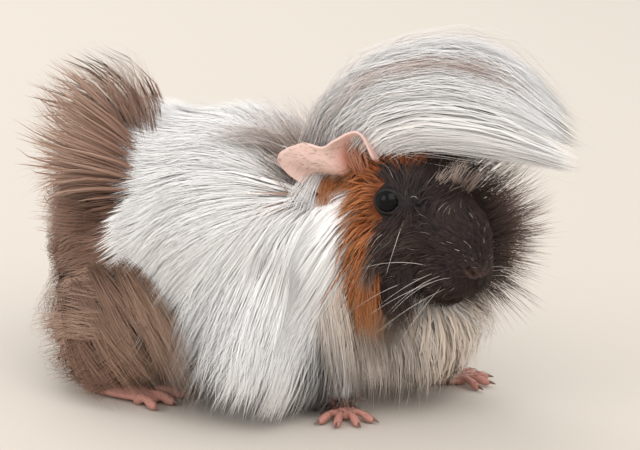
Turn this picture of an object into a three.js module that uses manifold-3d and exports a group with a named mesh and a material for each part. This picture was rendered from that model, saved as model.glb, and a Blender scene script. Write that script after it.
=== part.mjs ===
// A long-haired guinea pig that stands with its head turned to its right, life size, in millimetres.
// +Z is up and the trunk points along -Y, so the animal's right side is towards -X. The floor is z = 0.
// Each solid is the outside of the coat, or bare skin, of one part of the body. Neighbours keep a fine gap.
import * as THREE from "three";
import { mergeVertices } from "three/addons/utils/BufferGeometryUtils.js";
import Module from "manifold-3d";

const wasm = await Module();
wasm.setup();

// Driving dimensions
const GAP = 0.3; // between two neighbours
const HEM = 1.2; // the lowest hair above the floor
const MELT = 9; // how far two lumps of coat blend into each other
const LOCK_DEPTH = 0.022; // how far the locks stand out, as a share of the reach from the middle
const HEAD_PLACE = [-11, -77, 84];
const HEAD_TURN = -30; // degrees, to its right
const HEAD_DROP = 17; // degrees, nose down
const EYE_RADIUS = 5.6;
const EYE_PLACE = [19, -5.5, 9.5]; // in the head's frame, on the left side
const EAR_THICKNESS = 1.5;
const EAR_CUP = 4.5; // how deep the ear's dish is
const CLAW = 4.6;
const FOREFOOT = { palm: 12, toe: 12.5, girth: 3.8, toes: 4, spread: 100, ankle: 6.5 };
const HINDFOOT = { palm: 35, toe: 12.5, girth: 4.6, toes: 3, spread: 34, ankle: 7.5 };

const WHITE_COAT = { color: 0xe9e4df, roughness: 0.85 };
const BROWN_COAT = { color: 0x8d7468, roughness: 0.85 };
const FACE_COAT = { color: 0x352825, roughness: 0.8 };
const BARE_SKIN = { color: 0xdba394, roughness: 0.55 };
const EYE_GLOSS = { color: 0x0b0c10, roughness: 0.08 };

const V = (x, y, z) => new THREE.Vector3(x, y, z);

// One lump of coat: an ellipsoid with its middle and its three half sizes.
const lump = (x, y, z, rx, ry, rz) => ({ middle: [x, y, z], half: [rx, ry, rz] });

// About how far a point is outside one lump, negative inside.
function outside({ middle, half }, point) {
  const [a, b, c] = point.toArray().map((value, i) => (value - middle[i]) / half[i]);
  const share = Math.hypot(a, b, c);
  return (share * (share - 1)) / Math.max(Math.hypot(a / half[0], b / half[1], c / half[2]), 1e-9);
}

// About how far a point is outside several lumps that melt together.
function outsideAll(lumps, melt, point) {
  let far = Infinity;
  for (const one of lumps) {
    const near = outside(one, point);
    const mix = Math.max(melt - Math.abs(far - near), 0) / melt;
    far = Math.min(far, near) - (mix * mix * melt) / 4;
  }
  return far;
}

// Locks that run down and back over a body of hair: how far they stand out in one direction.
const locks = (count, twist) => (way) =>
  LOCK_DEPTH * Math.cos(count * Math.atan2(way.x, way.y) + twist * way.z) * (1 - way.z * way.z);

// A closed surface round some lumps: each vertex of a sphere is moved out to where the lumps end.
function wrapped({ lumps, middle, rings, sides, melt = MELT, ruffle = () => 0 }, grow = 0) {
  const geometry = new THREE.SphereGeometry(1, sides, rings).rotateX(Math.PI / 2);
  const place = geometry.getAttribute("position");
  const start = V(...middle);
  for (let i = 0; i < place.count; i++) {
    const way = new THREE.Vector3().fromBufferAttribute(place, i).normalize();
    let near = 0;
    let far = 200;
    while (far - near > 1e-4) {
      const half = (near + far) / 2;
      if (outsideAll(lumps, melt, start.clone().addScaledVector(way, half)) < 0) near = half;
      else far = half;
    }
    place.setXYZ(i, ...start.clone().addScaledVector(way, near * (1 + ruffle(way)) + grow).toArray());
  }
  return geometry;
}

// A closed geometry as a manifold-3d solid, moved by a matrix.
function solid(geometry, matrix = new THREE.Matrix4()) {
  const moved = geometry.clone().applyMatrix4(matrix);
  moved.deleteAttribute("normal");
  moved.deleteAttribute("uv");
  const merged = mergeVertices(moved, 1e-4);
  return new wasm.Manifold(
    new wasm.Mesh({
      numProp: 3,
      vertProperties: merged.getAttribute("position").array,
      triVerts: new Uint32Array(merged.index.array),
    }),
  );
}

const cutBy = (made, ...others) => others.reduce((left, other) => left.subtract(other), made);

// All that lies below a level.
const below = (level) => solid(new THREE.BoxGeometry(600, 600, 100).translate(0, 0, level - 50));

// The largest body of a solid, as a named mesh.
function part(name, made, look) {
  const [body] = made.decompose().sort((a, b) => b.volume() - a.volume());
  const { vertProperties, triVerts } = body.getMesh();
  const geometry = new THREE.BufferGeometry();
  geometry.setAttribute("position", new THREE.BufferAttribute(vertProperties, 3));
  geometry.setIndex(new THREE.BufferAttribute(triVerts, 1));
  geometry.computeVertexNormals();
  const mesh = new THREE.Mesh(geometry, new THREE.MeshStandardMaterial({ metalness: 0, ...look }));
  mesh.name = name;
  return mesh;
}

// The head has a frame of its own: its middle is between the eyes and the ears, and its nose points along -Y.
const SKULL = {
  lumps: [
    lump(0, 8, 1, 26, 27, 24),
    lump(0, -16, 1, 18, 25, 17),
    lump(15, -3, -12, 17, 24, 22),
    lump(-15, -3, -12, 17, 24, 22),
    lump(34, -14, -14, 21, 20, 27), // the long whorl on its left cheek
    lump(-25, 1, -22, 15, 20, 28),
    lump(-16, -18, -26, 13, 18, 18),
    lump(0, -10, -20, 15, 22, 13),
  ],
  middle: [2, -3, -8],
  rings: 16,
  sides: 22,
};
const MUZZLE = {
  lumps: [
    lump(0, -31, -5, 13, 14, 12),
    lump(7, -31, -12, 9.5, 11.5, 10),
    lump(-7, -31, -12, 9.5, 11.5, 10),
    lump(0, -27, -22, 8.5, 12, 7),
  ],
  middle: [0, -26, -10],
  rings: 10,
  sides: 16,
  melt: 4,
};

const headGroup = new THREE.Group();
headGroup.position.set(...HEAD_PLACE);
headGroup.rotation.set(THREE.MathUtils.degToRad(HEAD_DROP), 0, THREE.MathUtils.degToRad(HEAD_TURN), "ZXY");
headGroup.updateMatrix();

function eyeball(side, radius) {
  const [out, along, up] = EYE_PLACE;
  return solid(new THREE.SphereGeometry(radius, 12, 8).translate(side * out, along, up));
}

// The right ear's root runs down the side of the head, and its rim has a standing lobe and a drooping lobe.
const EAR_ROOT = new THREE.CatmullRomCurve3([V(-17, 8, 18), V(-20, 18, 12), V(-21, 27, -4)]);
const EAR_RIM = new THREE.CatmullRomCurve3([
  V(-19, 9, 21),
  V(-24, 15, 29),
  V(-30, 24, 22),
  V(-36, 32, 17),
  V(-42, 38, 9),
  V(-37, 36, 1),
  V(-24, 29, -5),
]);

// An ear: a thin dished sheet between its root and its rim. Each corner of a flat box is moved onto the sheet.
function ear(side, grow) {
  const sheet = new THREE.BoxGeometry(1, 1, 1, 14, 3, 1);
  const place = sheet.getAttribute("position");
  const centre = EAR_ROOT.getPoint(0.5).lerp(EAR_RIM.getPoint(0.5), 0.5);
  const middle = (u, v) => {
    const point = EAR_ROOT.getPoint(u).lerp(EAR_RIM.getPoint(u), v);
    return point.add(V(0.5, 0.55, -0.3).multiplyScalar(EAR_CUP * Math.sin(Math.PI * u) * 4 * v * (1 - v)));
  };
  for (let i = 0; i < place.count; i++) {
    const u = THREE.MathUtils.clamp(0.5 + place.getX(i), 0.004, 0.996);
    const v = THREE.MathUtils.clamp(0.5 + place.getY(i), 0.004, 0.996);
    const step = 0.003;
    const along = middle(u + step, v).sub(middle(u - step, v));
    const across = middle(u, v + step).sub(middle(u, v - step));
    const off = along.cross(across).normalize();
    const thick = EAR_THICKNESS * (1 - 0.45 * v) + 3 * grow;
    const point = middle(u, v).addScaledVector(off, place.getZ(i) * thick);
    point.sub(centre).multiplyScalar(1 + grow / 8).add(centre);
    place.setXYZ(i, point.x, point.y, point.z);
  }
  return side < 0 ? solid(sheet) : solid(sheet).mirror([1, 0, 0]);
}

const skull = solid(wrapped(SKULL));
const skullRoom = solid(wrapped(SKULL, GAP));
const sides = { right: -1, left: 1 };
headGroup.add(part("muzzle", cutBy(solid(wrapped(MUZZLE)), skullRoom), FACE_COAT));
const eyeRooms = Object.values(sides).map((side) => eyeball(side, EYE_RADIUS + GAP));
headGroup.add(part("head", cutBy(skull, ...eyeRooms), FACE_COAT));
for (const [name, side] of Object.entries(sides)) {
  headGroup.add(part(`eye_${name}`, eyeball(side, EYE_RADIUS), EYE_GLOSS));
  headGroup.add(part(`ear_${name}`, cutBy(ear(side, 0), skullRoom), BARE_SKIN));
}
const headRoom = [
  skullRoom,
  solid(wrapped(MUZZLE, GAP)),
  ...Object.values(sides).map((side) => ear(side, GAP)),
  ...eyeRooms,
].map((room) => room.transform(headGroup.matrix.elements));

// The long coat: a crest over the head, a ruff from neck to chest, a saddle with skirts, and the hindquarters.
const CREST = {
  lumps: [
    lump(2, -48, 110, 25, 22, 22),
    lump(0, -80, 124, 27, 38, 27),
    lump(10, -112, 119, 22, 28, 19),
  ],
  middle: [2, -80, 120],
  rings: 13,
  sides: 18,
  ruffle: locks(7, 3),
};
const RUFF = {
  lumps: [lump(0, -58, 68, 37, 28, 36), lump(4, -84, 38, 33, 22, 29)],
  middle: [0, -66, 58],
  rings: 12,
  sides: 20,
  ruffle: locks(9, 2),
};
const SADDLE = {
  lumps: [
    lump(0, 2, 60, 55, 44, 57),
    lump(-3, -38, 56, 47, 32, 41),
    lump(-45, -21, 20, 32, 34, 31),
    lump(38, -14, 28, 31, 34, 34),
  ],
  middle: [0, -10, 54],
  rings: 16,
  sides: 26,
  ruffle: locks(13, 3),
};
const HINDQUARTERS = {
  lumps: [
    lump(0, 46, 62, 49, 43, 56),
    lump(-29, 50, 24, 33, 36, 26),
    lump(22, 58, 30, 34, 38, 29),
    lump(-17, 62, 108, 16, 18, 26), // the upright fan of hair on the rump
  ],
  middle: [0, 50, 58],
  rings: 15,
  sides: 26,
  ruffle: locks(11, 4),
};

// A foot that points along -Y from its heel at the origin, with spread toes, claws, a flat sole and a flat ankle.
function foot({ palm, toe, girth, toes, spread, ankle }, grow) {
  const ball = (rx, ry, rz, sides = 7) =>
    new THREE.SphereGeometry(1, sides, Math.ceil(sides / 2) + 1).scale(rx + grow, ry + grow, rz + grow);
  const sole = ball(palm * 0.2 + 3, palm / 2 + 1, ankle * 0.62, 9).translate(0, -palm / 2, ankle * 0.55);
  const pieces = [solid(sole)];
  for (let i = 0; i < toes; i++) {
    const share = i / (toes - 1) - 0.5;
    const turn = new THREE.Matrix4().makeRotationZ(THREE.MathUtils.degToRad(share * spread));
    const root = new THREE.Matrix4().makeTranslation(share * palm * 0.3, -palm * 0.78, girth * 0.5).multiply(turn);
    const long = toe * (1 - 0.5 * share * share);
    const claw = new THREE.ConeGeometry(girth * 0.26 + grow, CLAW + 4 * grow, 5).rotateX(-Math.PI / 2 - 0.35);
    pieces.push(solid(ball(girth / 2, long / 2 + 1.5, girth / 2 + 0.2).translate(0, -long / 2, 0), root));
    pieces.push(solid(claw.translate(0, -long - CLAW / 2, 0), root));
  }
  const above = new THREE.BoxGeometry(60, 120, 60).translate(0, 0, ankle + grow + 30);
  return cutBy(wasm.Manifold.union(pieces), solid(above), below(0));
}

// A leg: a tapered round limb from the flat of the ankle up into the body.
function limb({ ankle, joint, thin, thick, size }, grow) {
  const low = V(...ankle, 0);
  const high = V(...joint);
  const shape = new THREE.CylinderGeometry(thick + grow, thin + grow, high.distanceTo(low) + 2 * grow, 12, 2);
  const turn = new THREE.Quaternion().setFromUnitVectors(V(0, 1, 0), high.clone().sub(low).normalize());
  const centre = high.clone().add(low).multiplyScalar(0.5);
  return cutBy(solid(shape.applyQuaternion(turn).translate(...centre.toArray())), below(size.ankle + GAP - grow));
}

const FORELEG = { thin: 5, thick: 9, size: FOREFOOT, look: WHITE_COAT };
const HINDLEG = { thin: 5.5, thick: 14, size: HINDFOOT, look: BROWN_COAT };
const LEGS = {
  fore_right: { ...FORELEG, heel: [-24, -51], turn: -60, ankle: [-29, -54], joint: [-23, -38, 34] },
  fore_left: { ...FORELEG, heel: [27, -71], turn: 26, ankle: [30, -76], joint: [20, -55, 34] },
  hind_right: { ...HINDLEG, heel: [-41, 54], turn: -8, ankle: [-42, 44], joint: [-27, 38, 42] },
  hind_left: { ...HINDLEG, heel: [41, 56], turn: 10, ankle: [43, 46], joint: [28, 40, 42] },
};

const guineaPig = new THREE.Group();
guineaPig.add(headGroup);
const legRoom = [];
for (const [where, leg] of Object.entries(LEGS)) {
  const [pair, side] = where.split("_");
  const paw = part(`${pair}foot_${side}`, foot(leg.size, 0), BARE_SKIN);
  paw.position.set(...leg.heel, 0);
  paw.rotation.z = THREE.MathUtils.degToRad(leg.turn);
  paw.updateMatrix();
  legRoom.push(foot(leg.size, 2 * GAP).transform(paw.matrix.elements), limb(leg, GAP));
  guineaPig.add(paw, part(`${pair}leg_${side}`, limb(leg, 0), leg.look));
}

// Each part of the coat gives way to the legs, the head, and the parts that lie over it.
const COAT = [
  { name: "forelock", shape: CREST, look: WHITE_COAT },
  { name: "neck", shape: RUFF, look: WHITE_COAT },
  { name: "trunk", shape: SADDLE, look: WHITE_COAT },
  { name: "rump", shape: HINDQUARTERS, look: BROWN_COAT },
];
const taken = [...headRoom, ...legRoom, below(HEM)];
for (const { name, shape, look } of COAT) {
  guineaPig.add(part(name, cutBy(solid(wrapped(shape)), ...taken), look));
  taken.push(solid(wrapped(shape, GAP)));
}

// The origin is on the floor, under the middle of the coat.
const around = new THREE.Box3().setFromObject(guineaPig, true);
guineaPig.position.set(-(around.min.x + around.max.x) / 2, -(around.min.y + around.max.y) / 2, 0);

export default guineaPig;
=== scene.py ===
# %% [markdown]
# # A long-haired guinea pig
# A real one is a small round body under a coat that is several times longer than it looks from outside.
# This lesson builds it the same way round: bare skin first, then the eyes and claws, and then the hair,
# strand by strand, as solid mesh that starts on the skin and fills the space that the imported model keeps
# for the coat.
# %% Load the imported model
import math
from contextlib import contextmanager
import bpy
import bmesh
import numpy as np
from mathutils import Matrix, Vector
from mathutils.kdtree import KDTree
from mathutils.noise import seed_set


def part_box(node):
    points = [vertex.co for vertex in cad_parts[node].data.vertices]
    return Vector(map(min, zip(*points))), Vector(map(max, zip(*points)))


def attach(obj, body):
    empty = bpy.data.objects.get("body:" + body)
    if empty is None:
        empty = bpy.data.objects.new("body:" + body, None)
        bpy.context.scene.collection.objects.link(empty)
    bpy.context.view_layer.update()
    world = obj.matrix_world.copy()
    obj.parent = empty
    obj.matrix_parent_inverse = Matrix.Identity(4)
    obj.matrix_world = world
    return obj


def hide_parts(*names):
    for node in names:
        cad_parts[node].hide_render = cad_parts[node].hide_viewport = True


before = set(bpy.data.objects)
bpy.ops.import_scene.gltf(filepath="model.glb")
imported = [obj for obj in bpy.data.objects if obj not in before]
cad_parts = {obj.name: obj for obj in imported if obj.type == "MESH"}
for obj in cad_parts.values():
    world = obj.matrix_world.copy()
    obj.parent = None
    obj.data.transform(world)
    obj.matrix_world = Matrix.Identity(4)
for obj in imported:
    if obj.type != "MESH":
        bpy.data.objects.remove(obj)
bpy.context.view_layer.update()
SEED = 20
DICE = np.random.default_rng(SEED)
seed_set(SEED)

# %% [markdown]
# ## One frame for the animal
# An animal is easiest to shape in its own frame: millimetres, nose towards -Y, feet on z = 0. The head
# turns in a frame of its own, so that its left and right halves are mirror images there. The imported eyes
# tell where the head is, and that fixes how the animal's frame sits in the model's.
# %% The animal's frame and the head's
HEAD_PLACE = np.array([-11.0, -77.0, 84.0])
HEAD_TURN = -30.0
HEAD_DROP = 17.0
EYE_PLACE = np.array([19.0, -5.5, 9.5])


def turned(axis, degrees):
    return np.array(Matrix.Rotation(math.radians(degrees), 3, axis))


HEAD_AXES = turned("Z", HEAD_TURN) @ turned("X", HEAD_DROP)


def to_head(points):
    return (points - HEAD_PLACE) @ HEAD_AXES


def from_head(points):
    return np.asarray(points, float) @ HEAD_AXES.T + HEAD_PLACE


def middle_of(node):
    return 1000 * np.mean(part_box(node), axis=0)


BETWEEN_EYES = from_head([0.0, EYE_PLACE[1], EYE_PLACE[2]])
SHIFT = (middle_of("eye_right") + middle_of("eye_left")) / 2 - BETWEEN_EYES
SHIFT[2] = 0.0


def to_model(points):
    """Millimetres in the animal's frame, as metres in the model's."""
    return (np.asarray(points, float) + SHIFT) / 1000


print("the animal's frame is shifted by", SHIFT.round(2), "mm")

# %% [markdown]
# ## Camera, floor and light
# The view is a long-lens portrait from the animal's right, a little above its back. A lens of about 145 mm
# keeps the near paw and the far cheek in proportion. A big soft lamp in front and above, weaker ones
# behind and a bright surround give the coat its airy light, with no hard shadow in the hair.
# %% Camera
def linked(name, data):
    """A new object in the scene."""
    obj = bpy.data.objects.new(name, data)
    bpy.context.scene.collection.objects.link(obj)
    return obj


VIEW_TURN = math.radians(-65.0)
VIEW_LIFT = math.radians(14.0)
VIEW_DISTANCE = 1050.0
VIEW_WIDTH = 261.0
SENSOR = 36.0
aim = np.array([0.0, -30.0, 70.0])
flat = math.cos(VIEW_LIFT)
towards_camera = np.array([flat * math.sin(VIEW_TURN), -flat * math.cos(VIEW_TURN), math.sin(VIEW_LIFT)])
camera = linked("camera", bpy.data.cameras.new("camera"))
camera.data.sensor_width = SENSOR
camera.data.lens = SENSOR * VIEW_DISTANCE / VIEW_WIDTH
camera.data.clip_start = 0.01
camera.location = to_model(aim + VIEW_DISTANCE * towards_camera)
camera.rotation_euler = Vector(towards_camera).to_track_quat("Z", "Y").to_euler()
bpy.context.scene.camera = camera
print("lens:", round(camera.data.lens), "mm")

# %% Floor and lights
def lamp(name, place, size, power, colour=(1.0, 1.0, 1.0)):
    light = bpy.data.lights.new(name, "AREA")
    light.size = size
    light.energy = power
    light.color = colour
    obj = linked(name, light)
    obj.location = place
    obj.rotation_euler = Vector(place).to_track_quat("Z", "Y").to_euler()


lamp("key_light", (-0.9, -1.0, 1.5), 1.6, 18.0, (1.0, 0.985, 0.965))
lamp("back_light", (0.9, 1.0, 1.3), 1.2, 11.0)
lamp("side_light", (-1.3, 0.8, 0.9), 1.0, 7.0)
world = bpy.data.worlds.new("studio")
world.use_nodes = True
surround = world.node_tree.nodes["Background"].inputs
surround["Color"].default_value = (1.0, 0.985, 0.97, 1.0)
surround["Strength"].default_value = 0.9
bpy.context.scene.world = world
bpy.context.scene.view_settings.view_transform = "Standard"
print("lamps:", [light.name for light in bpy.data.lights])

# %% [markdown]
# ## Writing shader maths as plain expressions
# A material is a small graph of nodes. Wrapping a socket in a class whose operators add Math nodes lets
# the graph be written as a formula, so a reader sees what it computes and not how it is wired.
# %% A socket that can be used in a formula
class Wave:
    """One value output of a shader node. Differences and products of it add their own Math nodes."""

    def __init__(self, shader, socket):
        self.shader = shader
        self.socket = socket


def math_step(operation, swapped):
    """An operator that adds one Math node. swapped is for a plain number on the left."""
    def step(wave, other):
        inputs = {0: other, 1: wave} if swapped else {0: wave, 1: other}
        return wave.shader.node("ShaderNodeMath", {"operation": operation}, inputs)
    return step


for word, operation in (("sub", "SUBTRACT"), ("mul", "MULTIPLY")):
    setattr(Wave, f"__{word}__", math_step(operation, False))
    setattr(Wave, f"__r{word}__", math_step(operation, True))


# %% Materials
class Finish:
    """A material with its surface shader, and one method that adds any node."""

    def __init__(self, name, **fixed):
        self.material = bpy.data.materials.new(name)
        self.material.use_nodes = True
        self.nodes = self.material.node_tree.nodes
        self.links = self.material.node_tree.links
        self.surface = self.nodes["Principled BSDF"]
        for socket, value in fixed.items():
            self.surface.inputs[socket.replace("_", " ")].default_value = value

    def node(self, kind, settings, inputs, output=0):
        made = self.nodes.new(kind)
        for key, value in settings.items():
            setattr(made, key, value)
        for key, value in inputs.items():
            self.feed(made.inputs[key], value)
        return Wave(self, made.outputs[output])

    def feed(self, socket, value):
        if isinstance(value, Wave):
            self.links.new(value.socket, socket)
        else:
            socket.default_value = value

    def surface_takes(self, **waves):
        for socket, wave in waves.items():
            self.feed(self.surface.inputs[socket.replace("_", " ")], wave)

    def noise(self, scale, detail=2.0, roughness=0.5):
        place = self.node("ShaderNodeTexCoord", {}, {}, "Object")
        inputs = {"Vector": place, "Scale": scale, "Detail": detail, "Roughness": roughness}
        return self.node("ShaderNodeTexNoise", {}, inputs, "Fac")

    def paint(self, layer):
        return self.node("ShaderNodeVertexColor", {"layer_name": layer}, {}, "Color")

    def bump(self, height, strength):
        """Bumps whose height is in millimetres."""
        return self.node("ShaderNodeBump", {}, {"Height": height, "Strength": strength, "Distance": 0.001})


# %% Screen colours
def linear(*screen):
    """Screen colours from 0 to 255, as the linear colours that shaders work with."""
    shares = np.array(screen) / 255
    return np.where(shares <= 0.04045, shares / 12.92, ((shares + 0.055) / 1.055) ** 2.4)


# %% [markdown]
# ## The body as melted lumps
# Flesh has no edges. A body made of ellipsoids that melt into each other gives a smooth surface that is
# known everywhere as a formula, so it can be meshed, measured and followed by the hair. The same is done
# twice: once for the skin and once for the outside of the coat. Modelling by hand would look as good, but
# hair couldn't ask it how far away the skin is.
# %% Lumps and their distance
def melted(first, second, melt):
    mix = np.maximum(melt - np.abs(first - second), 0) / melt
    return np.minimum(first, second) - mix * mix * melt / 4


def from_lumps(points, lumps, melt):
    """About how far points are outside lumps given as middle and half sizes, negative inside."""
    far = None
    for *middle, rx, ry, rz in lumps:
        half = np.array([rx, ry, rz])
        share = (points - middle) / half
        size = np.linalg.norm(share, axis=-1)
        this = size * (size - 1) / np.maximum(np.linalg.norm(share / half, axis=-1), 1e-6)
        far = this if far is None else melted(far, this, melt)
    return far


def slope(distance, points, step=0.15):
    """The distance at points and the unit direction in which it grows."""
    here = distance(points)
    rise = np.stack([distance(points + step * axis) - here for axis in np.eye(3)], axis=-1)
    return here, rise / np.maximum(np.linalg.norm(rise, axis=-1, keepdims=True), 1e-9)


def unit(vectors):
    return vectors / np.maximum(np.linalg.norm(vectors, axis=-1, keepdims=True), 1e-9)


def smooth(low, high, value):
    """0 up to low and 1 from high on, or the other way round where low is the greater."""
    share = np.clip((value - low) / (high - low), 0, 1)
    return share * share * (3 - 2 * share)


# %% The flesh under the coat
def limb(low, high, thin, thick, count=6):
    """A leg as a row of balls."""
    rows = []
    for share in np.linspace(0, 1, count):
        middle = (1 - share) * np.array(low) + share * np.array(high)
        rows.append((*middle, *[(1 - share) * thin + share * thick] * 3))
    return rows


BODY = [
    (0, 42, 55, 37, 41, 46),
    (0, 6, 57, 40, 48, 46),
    (-1, -36, 53, 35, 34, 35),
    (-6, -57, 71, 25, 26, 24),
    (0, -62, 44, 24, 24, 26),
]
LIMBS = (
    limb((-27, -53, 6), (-23, -40, 40), 4.2, 9)
    + limb((29, -75, 6), (20, -57, 42), 4.2, 9)
    + limb((-42, 46, 7), (-27, 36, 44), 5.0, 15)
    + limb((42, 48, 7), (27, 40, 44), 5.0, 15)
)
SKULL = [
    (0, 7, 3, 20, 24.5, 20),
    (0, -16, 3, 14, 24, 14),
    (13, -4, -9, 11.5, 20, 15),
    (-13, -4, -9, 11.5, 20, 15),
    (15, -5, 9, 5.2, 9.5, 8.5),
    (-15, -5, 9, 5.2, 9.5, 8.5),
    (0, -8, -16, 13, 18, 10),
]
MUZZLE = [
    (0, -31, -4, 10.5, 12.5, 10),
    (5.2, -32, -11, 7.2, 9.8, 7.5),
    (-5.2, -32, -11, 7.2, 9.8, 7.5),
    (0, -28, -19.5, 5.8, 8.5, 4.8),
    (0, -40.5, -3.5, 5.6, 4.2, 4.4),
]


# %% Flesh and head as formulas
BODY_MELT = 9.0
HEAD_MELT = 6.0
MUZZLE_MELT = 2.5


def skull_distance(points):
    head = to_head(points)
    return melted(from_lumps(head, SKULL, HEAD_MELT), from_lumps(head, MUZZLE, MUZZLE_MELT), 4.0)


def skin_distance(points):
    return melted(from_lumps(points, BODY + LIMBS, BODY_MELT), skull_distance(points), 7.0)


# %% The outside of the coat
COAT_BODY = [
    (0, 2, 60, 55, 44, 57),
    (-3, -38, 56, 47, 32, 41),
    (-45, -21, 20, 32, 34, 31),
    (38, -14, 28, 31, 34, 34),
    (0, -58, 68, 37, 28, 36),
    (4, -84, 38, 33, 22, 29),
    (0, 46, 62, 49, 43, 56),
    (-29, 50, 24, 33, 36, 26),
    (22, 58, 30, 34, 38, 29),
    (-17, 62, 108, 16, 18, 26),
]
COAT_HEAD = [
    (0, 8, 1, 26, 27, 24),
    (0, -16, 1, 17, 25, 17),
    (15, -3, -12, 17, 24, 22),
    (-15, -3, -12, 17, 24, 22),
    (34, -14, -14, 21, 20, 27),
    (-25, 1, -22, 15, 20, 28),
    (-16, -18, -26, 13, 18, 18),
    (0, -10, -20, 15, 22, 13),
    (0, -31, -5, 12, 13.5, 11.5),
    (6.5, -31, -12, 9, 11, 9.5),
    (-6.5, -31, -12, 9, 11, 9.5),
]


def head_coat_distance(points):
    return from_lumps(to_head(points), COAT_HEAD, HEAD_MELT)


def coat_distance(points):
    return melted(from_lumps(points, COAT_BODY, BODY_MELT), head_coat_distance(points), 5.0)


# %% [markdown]
# ## From formula to skin
# Balls and ellipsoids are joined roughly and remeshed into even quads, and then every vertex slides along
# the slope of the distance until it lies on the formula's surface. The face gets two more levels of
# faces, because lids, nostrils and lips are smaller than the first grid.
# %% Mesh helpers
def mesh_object(name, vertices, faces, material=None):
    mesh = bpy.data.meshes.new(name)
    mesh.from_pydata([tuple(v) for v in vertices], [], [tuple(f) for f in faces])
    mesh.update()
    if material:
        mesh.materials.append(material)
    return linked(name, mesh)


def fill(items, key, values, kind=np.float32):
    """Sets one value of all items of a mesh at once."""
    items.foreach_set(key, np.asarray(values).astype(kind).ravel())


def shade_smooth(mesh):
    fill(mesh.polygons, "use_smooth", np.ones(len(mesh.polygons)), bool)


@contextmanager
def edited(mesh):
    """A mesh opened for editing, and written back after."""
    work = bmesh.new()
    work.from_mesh(mesh)
    yield work
    work.to_mesh(mesh)
    work.free()


def mesh_of(name, gather):
    """A mesh from what was gathered."""
    mesh = bpy.data.meshes.new(name)
    gather.to_mesh(mesh)
    gather.free()
    return mesh


def corners_of(mesh):
    places = np.empty(3 * len(mesh.vertices), np.float32)
    mesh.vertices.foreach_get("co", places)
    return places.reshape(-1, 3).astype(float)


def set_corners(mesh, places):
    fill(mesh.vertices, "co", places)
    mesh.update()


def apply_modifiers(obj):
    graph = bpy.context.evaluated_depsgraph_get()
    made = bpy.data.meshes.new_from_object(obj.evaluated_get(graph))
    obj.modifiers.clear()
    old = obj.data
    obj.data = made
    bpy.data.meshes.remove(old)


def lump_ball(gather, middle, half, axes=np.eye(3), place=np.zeros(3)):
    turn = Matrix(axes.tolist()).to_4x4()
    made = bmesh.ops.create_icosphere(gather, subdivisions=3, radius=1.0)["verts"]
    matrix = Matrix.Translation(Vector(place)) @ turn @ Matrix.Translation(Vector(middle))
    bmesh.ops.transform(gather, matrix=matrix @ Matrix.Diagonal((*half, 1.0)), verts=made)


def remeshed(name, gather, voxel):
    obj = linked(name, mesh_of(name, gather))
    grid = obj.modifiers.new("grid", "REMESH")
    grid.mode = "VOXEL"
    grid.voxel_size = voxel
    apply_modifiers(obj)
    return obj


# %% Body and head as one surface
SKIN_GRID = 1.5
gather = bmesh.new()
for *middle, rx, ry, rz in BODY + LIMBS:
    lump_ball(gather, middle, (rx, ry, rz))
for *middle, rx, ry, rz in SKULL + MUZZLE:
    lump_ball(gather, middle, (rx, ry, rz), HEAD_AXES, HEAD_PLACE)
skin = remeshed("skin", gather, SKIN_GRID)


def onto_skin(points, share=1.0):
    """Places slid along the slope onto the skin, or a share of the way."""
    distance, outward = slope(skin_distance, points)
    return points - outward * distance[:, None] * share


def settle(mesh, rounds=4):
    """Slides every vertex onto the skin's formula, a little less than all the way in each round."""
    places = corners_of(mesh)
    for _ in range(rounds):
        places = onto_skin(places, 0.9)
    set_corners(mesh, places)
    return places


def refine(mesh, wanted):
    """Splits the faces whose middles wanted() names."""
    with edited(mesh) as work:
        chosen = wanted(to_head(np.array([tuple(f.calc_center_median()) for f in work.faces])))
        edges = {e for f, yes in zip(work.faces, chosen) if yes for e in f.edges}
        bmesh.ops.subdivide_edges(work, edges=list(edges), cuts=1, use_grid_fill=True)


# %% Places on the face by its mirror
def mirrored(head):
    """Places in the head's frame, folded onto its left half."""
    return np.stack([np.abs(head[..., 0]), head[..., 1], head[..., 2]], axis=-1)


def near_eye(head, reach):
    return np.linalg.norm(mirrored(head) - EYE_PLACE, axis=1) < reach


# %% Sliding the skin into place, finer at the face
settle(skin.data)
refine(skin.data, lambda head: (head[:, 1] < -22) | near_eye(head, 13))
settle(skin.data, 2)
refine(skin.data, lambda head: (head[:, 1] < -32) | near_eye(head, 9))
places = settle(skin.data, 3)
print("skin:", len(skin.data.vertices), "vertices")

# %% Nostrils and lips
def groove(head, path, width, depth):
    """How deep a groove along a path of points is at each point."""
    best = np.full(len(head), 1e9)
    for start, end in zip(path[:-1], path[1:]):
        start, end = np.array(start, float), np.array(end, float)
        along = end - start
        share = np.clip(((head - start) @ along) / (along @ along), 0, 1)
        best = np.minimum(best, np.linalg.norm(head - start - share[:, None] * along, axis=1))
    return depth * np.exp(-((best / width) ** 2))


def face_relief(head):
    """How far the skin sinks at each place of the face."""
    half = mirrored(head)
    nostril = groove(half, [(2.0, -44.3, -5.6), (3.3, -44.0, -4.4), (4.9, -42.6, -2.6)], 0.75, 1.9)
    wing = groove(half, [(2.0, -44.3, -7.2), (5.2, -42.6, -5.2), (6.4, -41, -2.4)], 0.8, -0.6)
    cleft = groove(half, [(0, -44.5, -7.5), (0, -43, -10.5), (0, -41.5, -15.5)], 0.7, 1.1)
    lip = groove(half, [(0, -41, -15.5), (3.5, -40, -17.6), (8, -34, -18.6), (11, -27, -17)], 0.9, 1.4)
    return nostril + wing + cleft + lip


head = to_head(places)
_, outward = slope(skin_distance, places)
places = places - outward * face_relief(head)[:, None]
set_corners(skin.data, places)
print("deepest groove:", face_relief(head).max().round(2), "mm")

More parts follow.
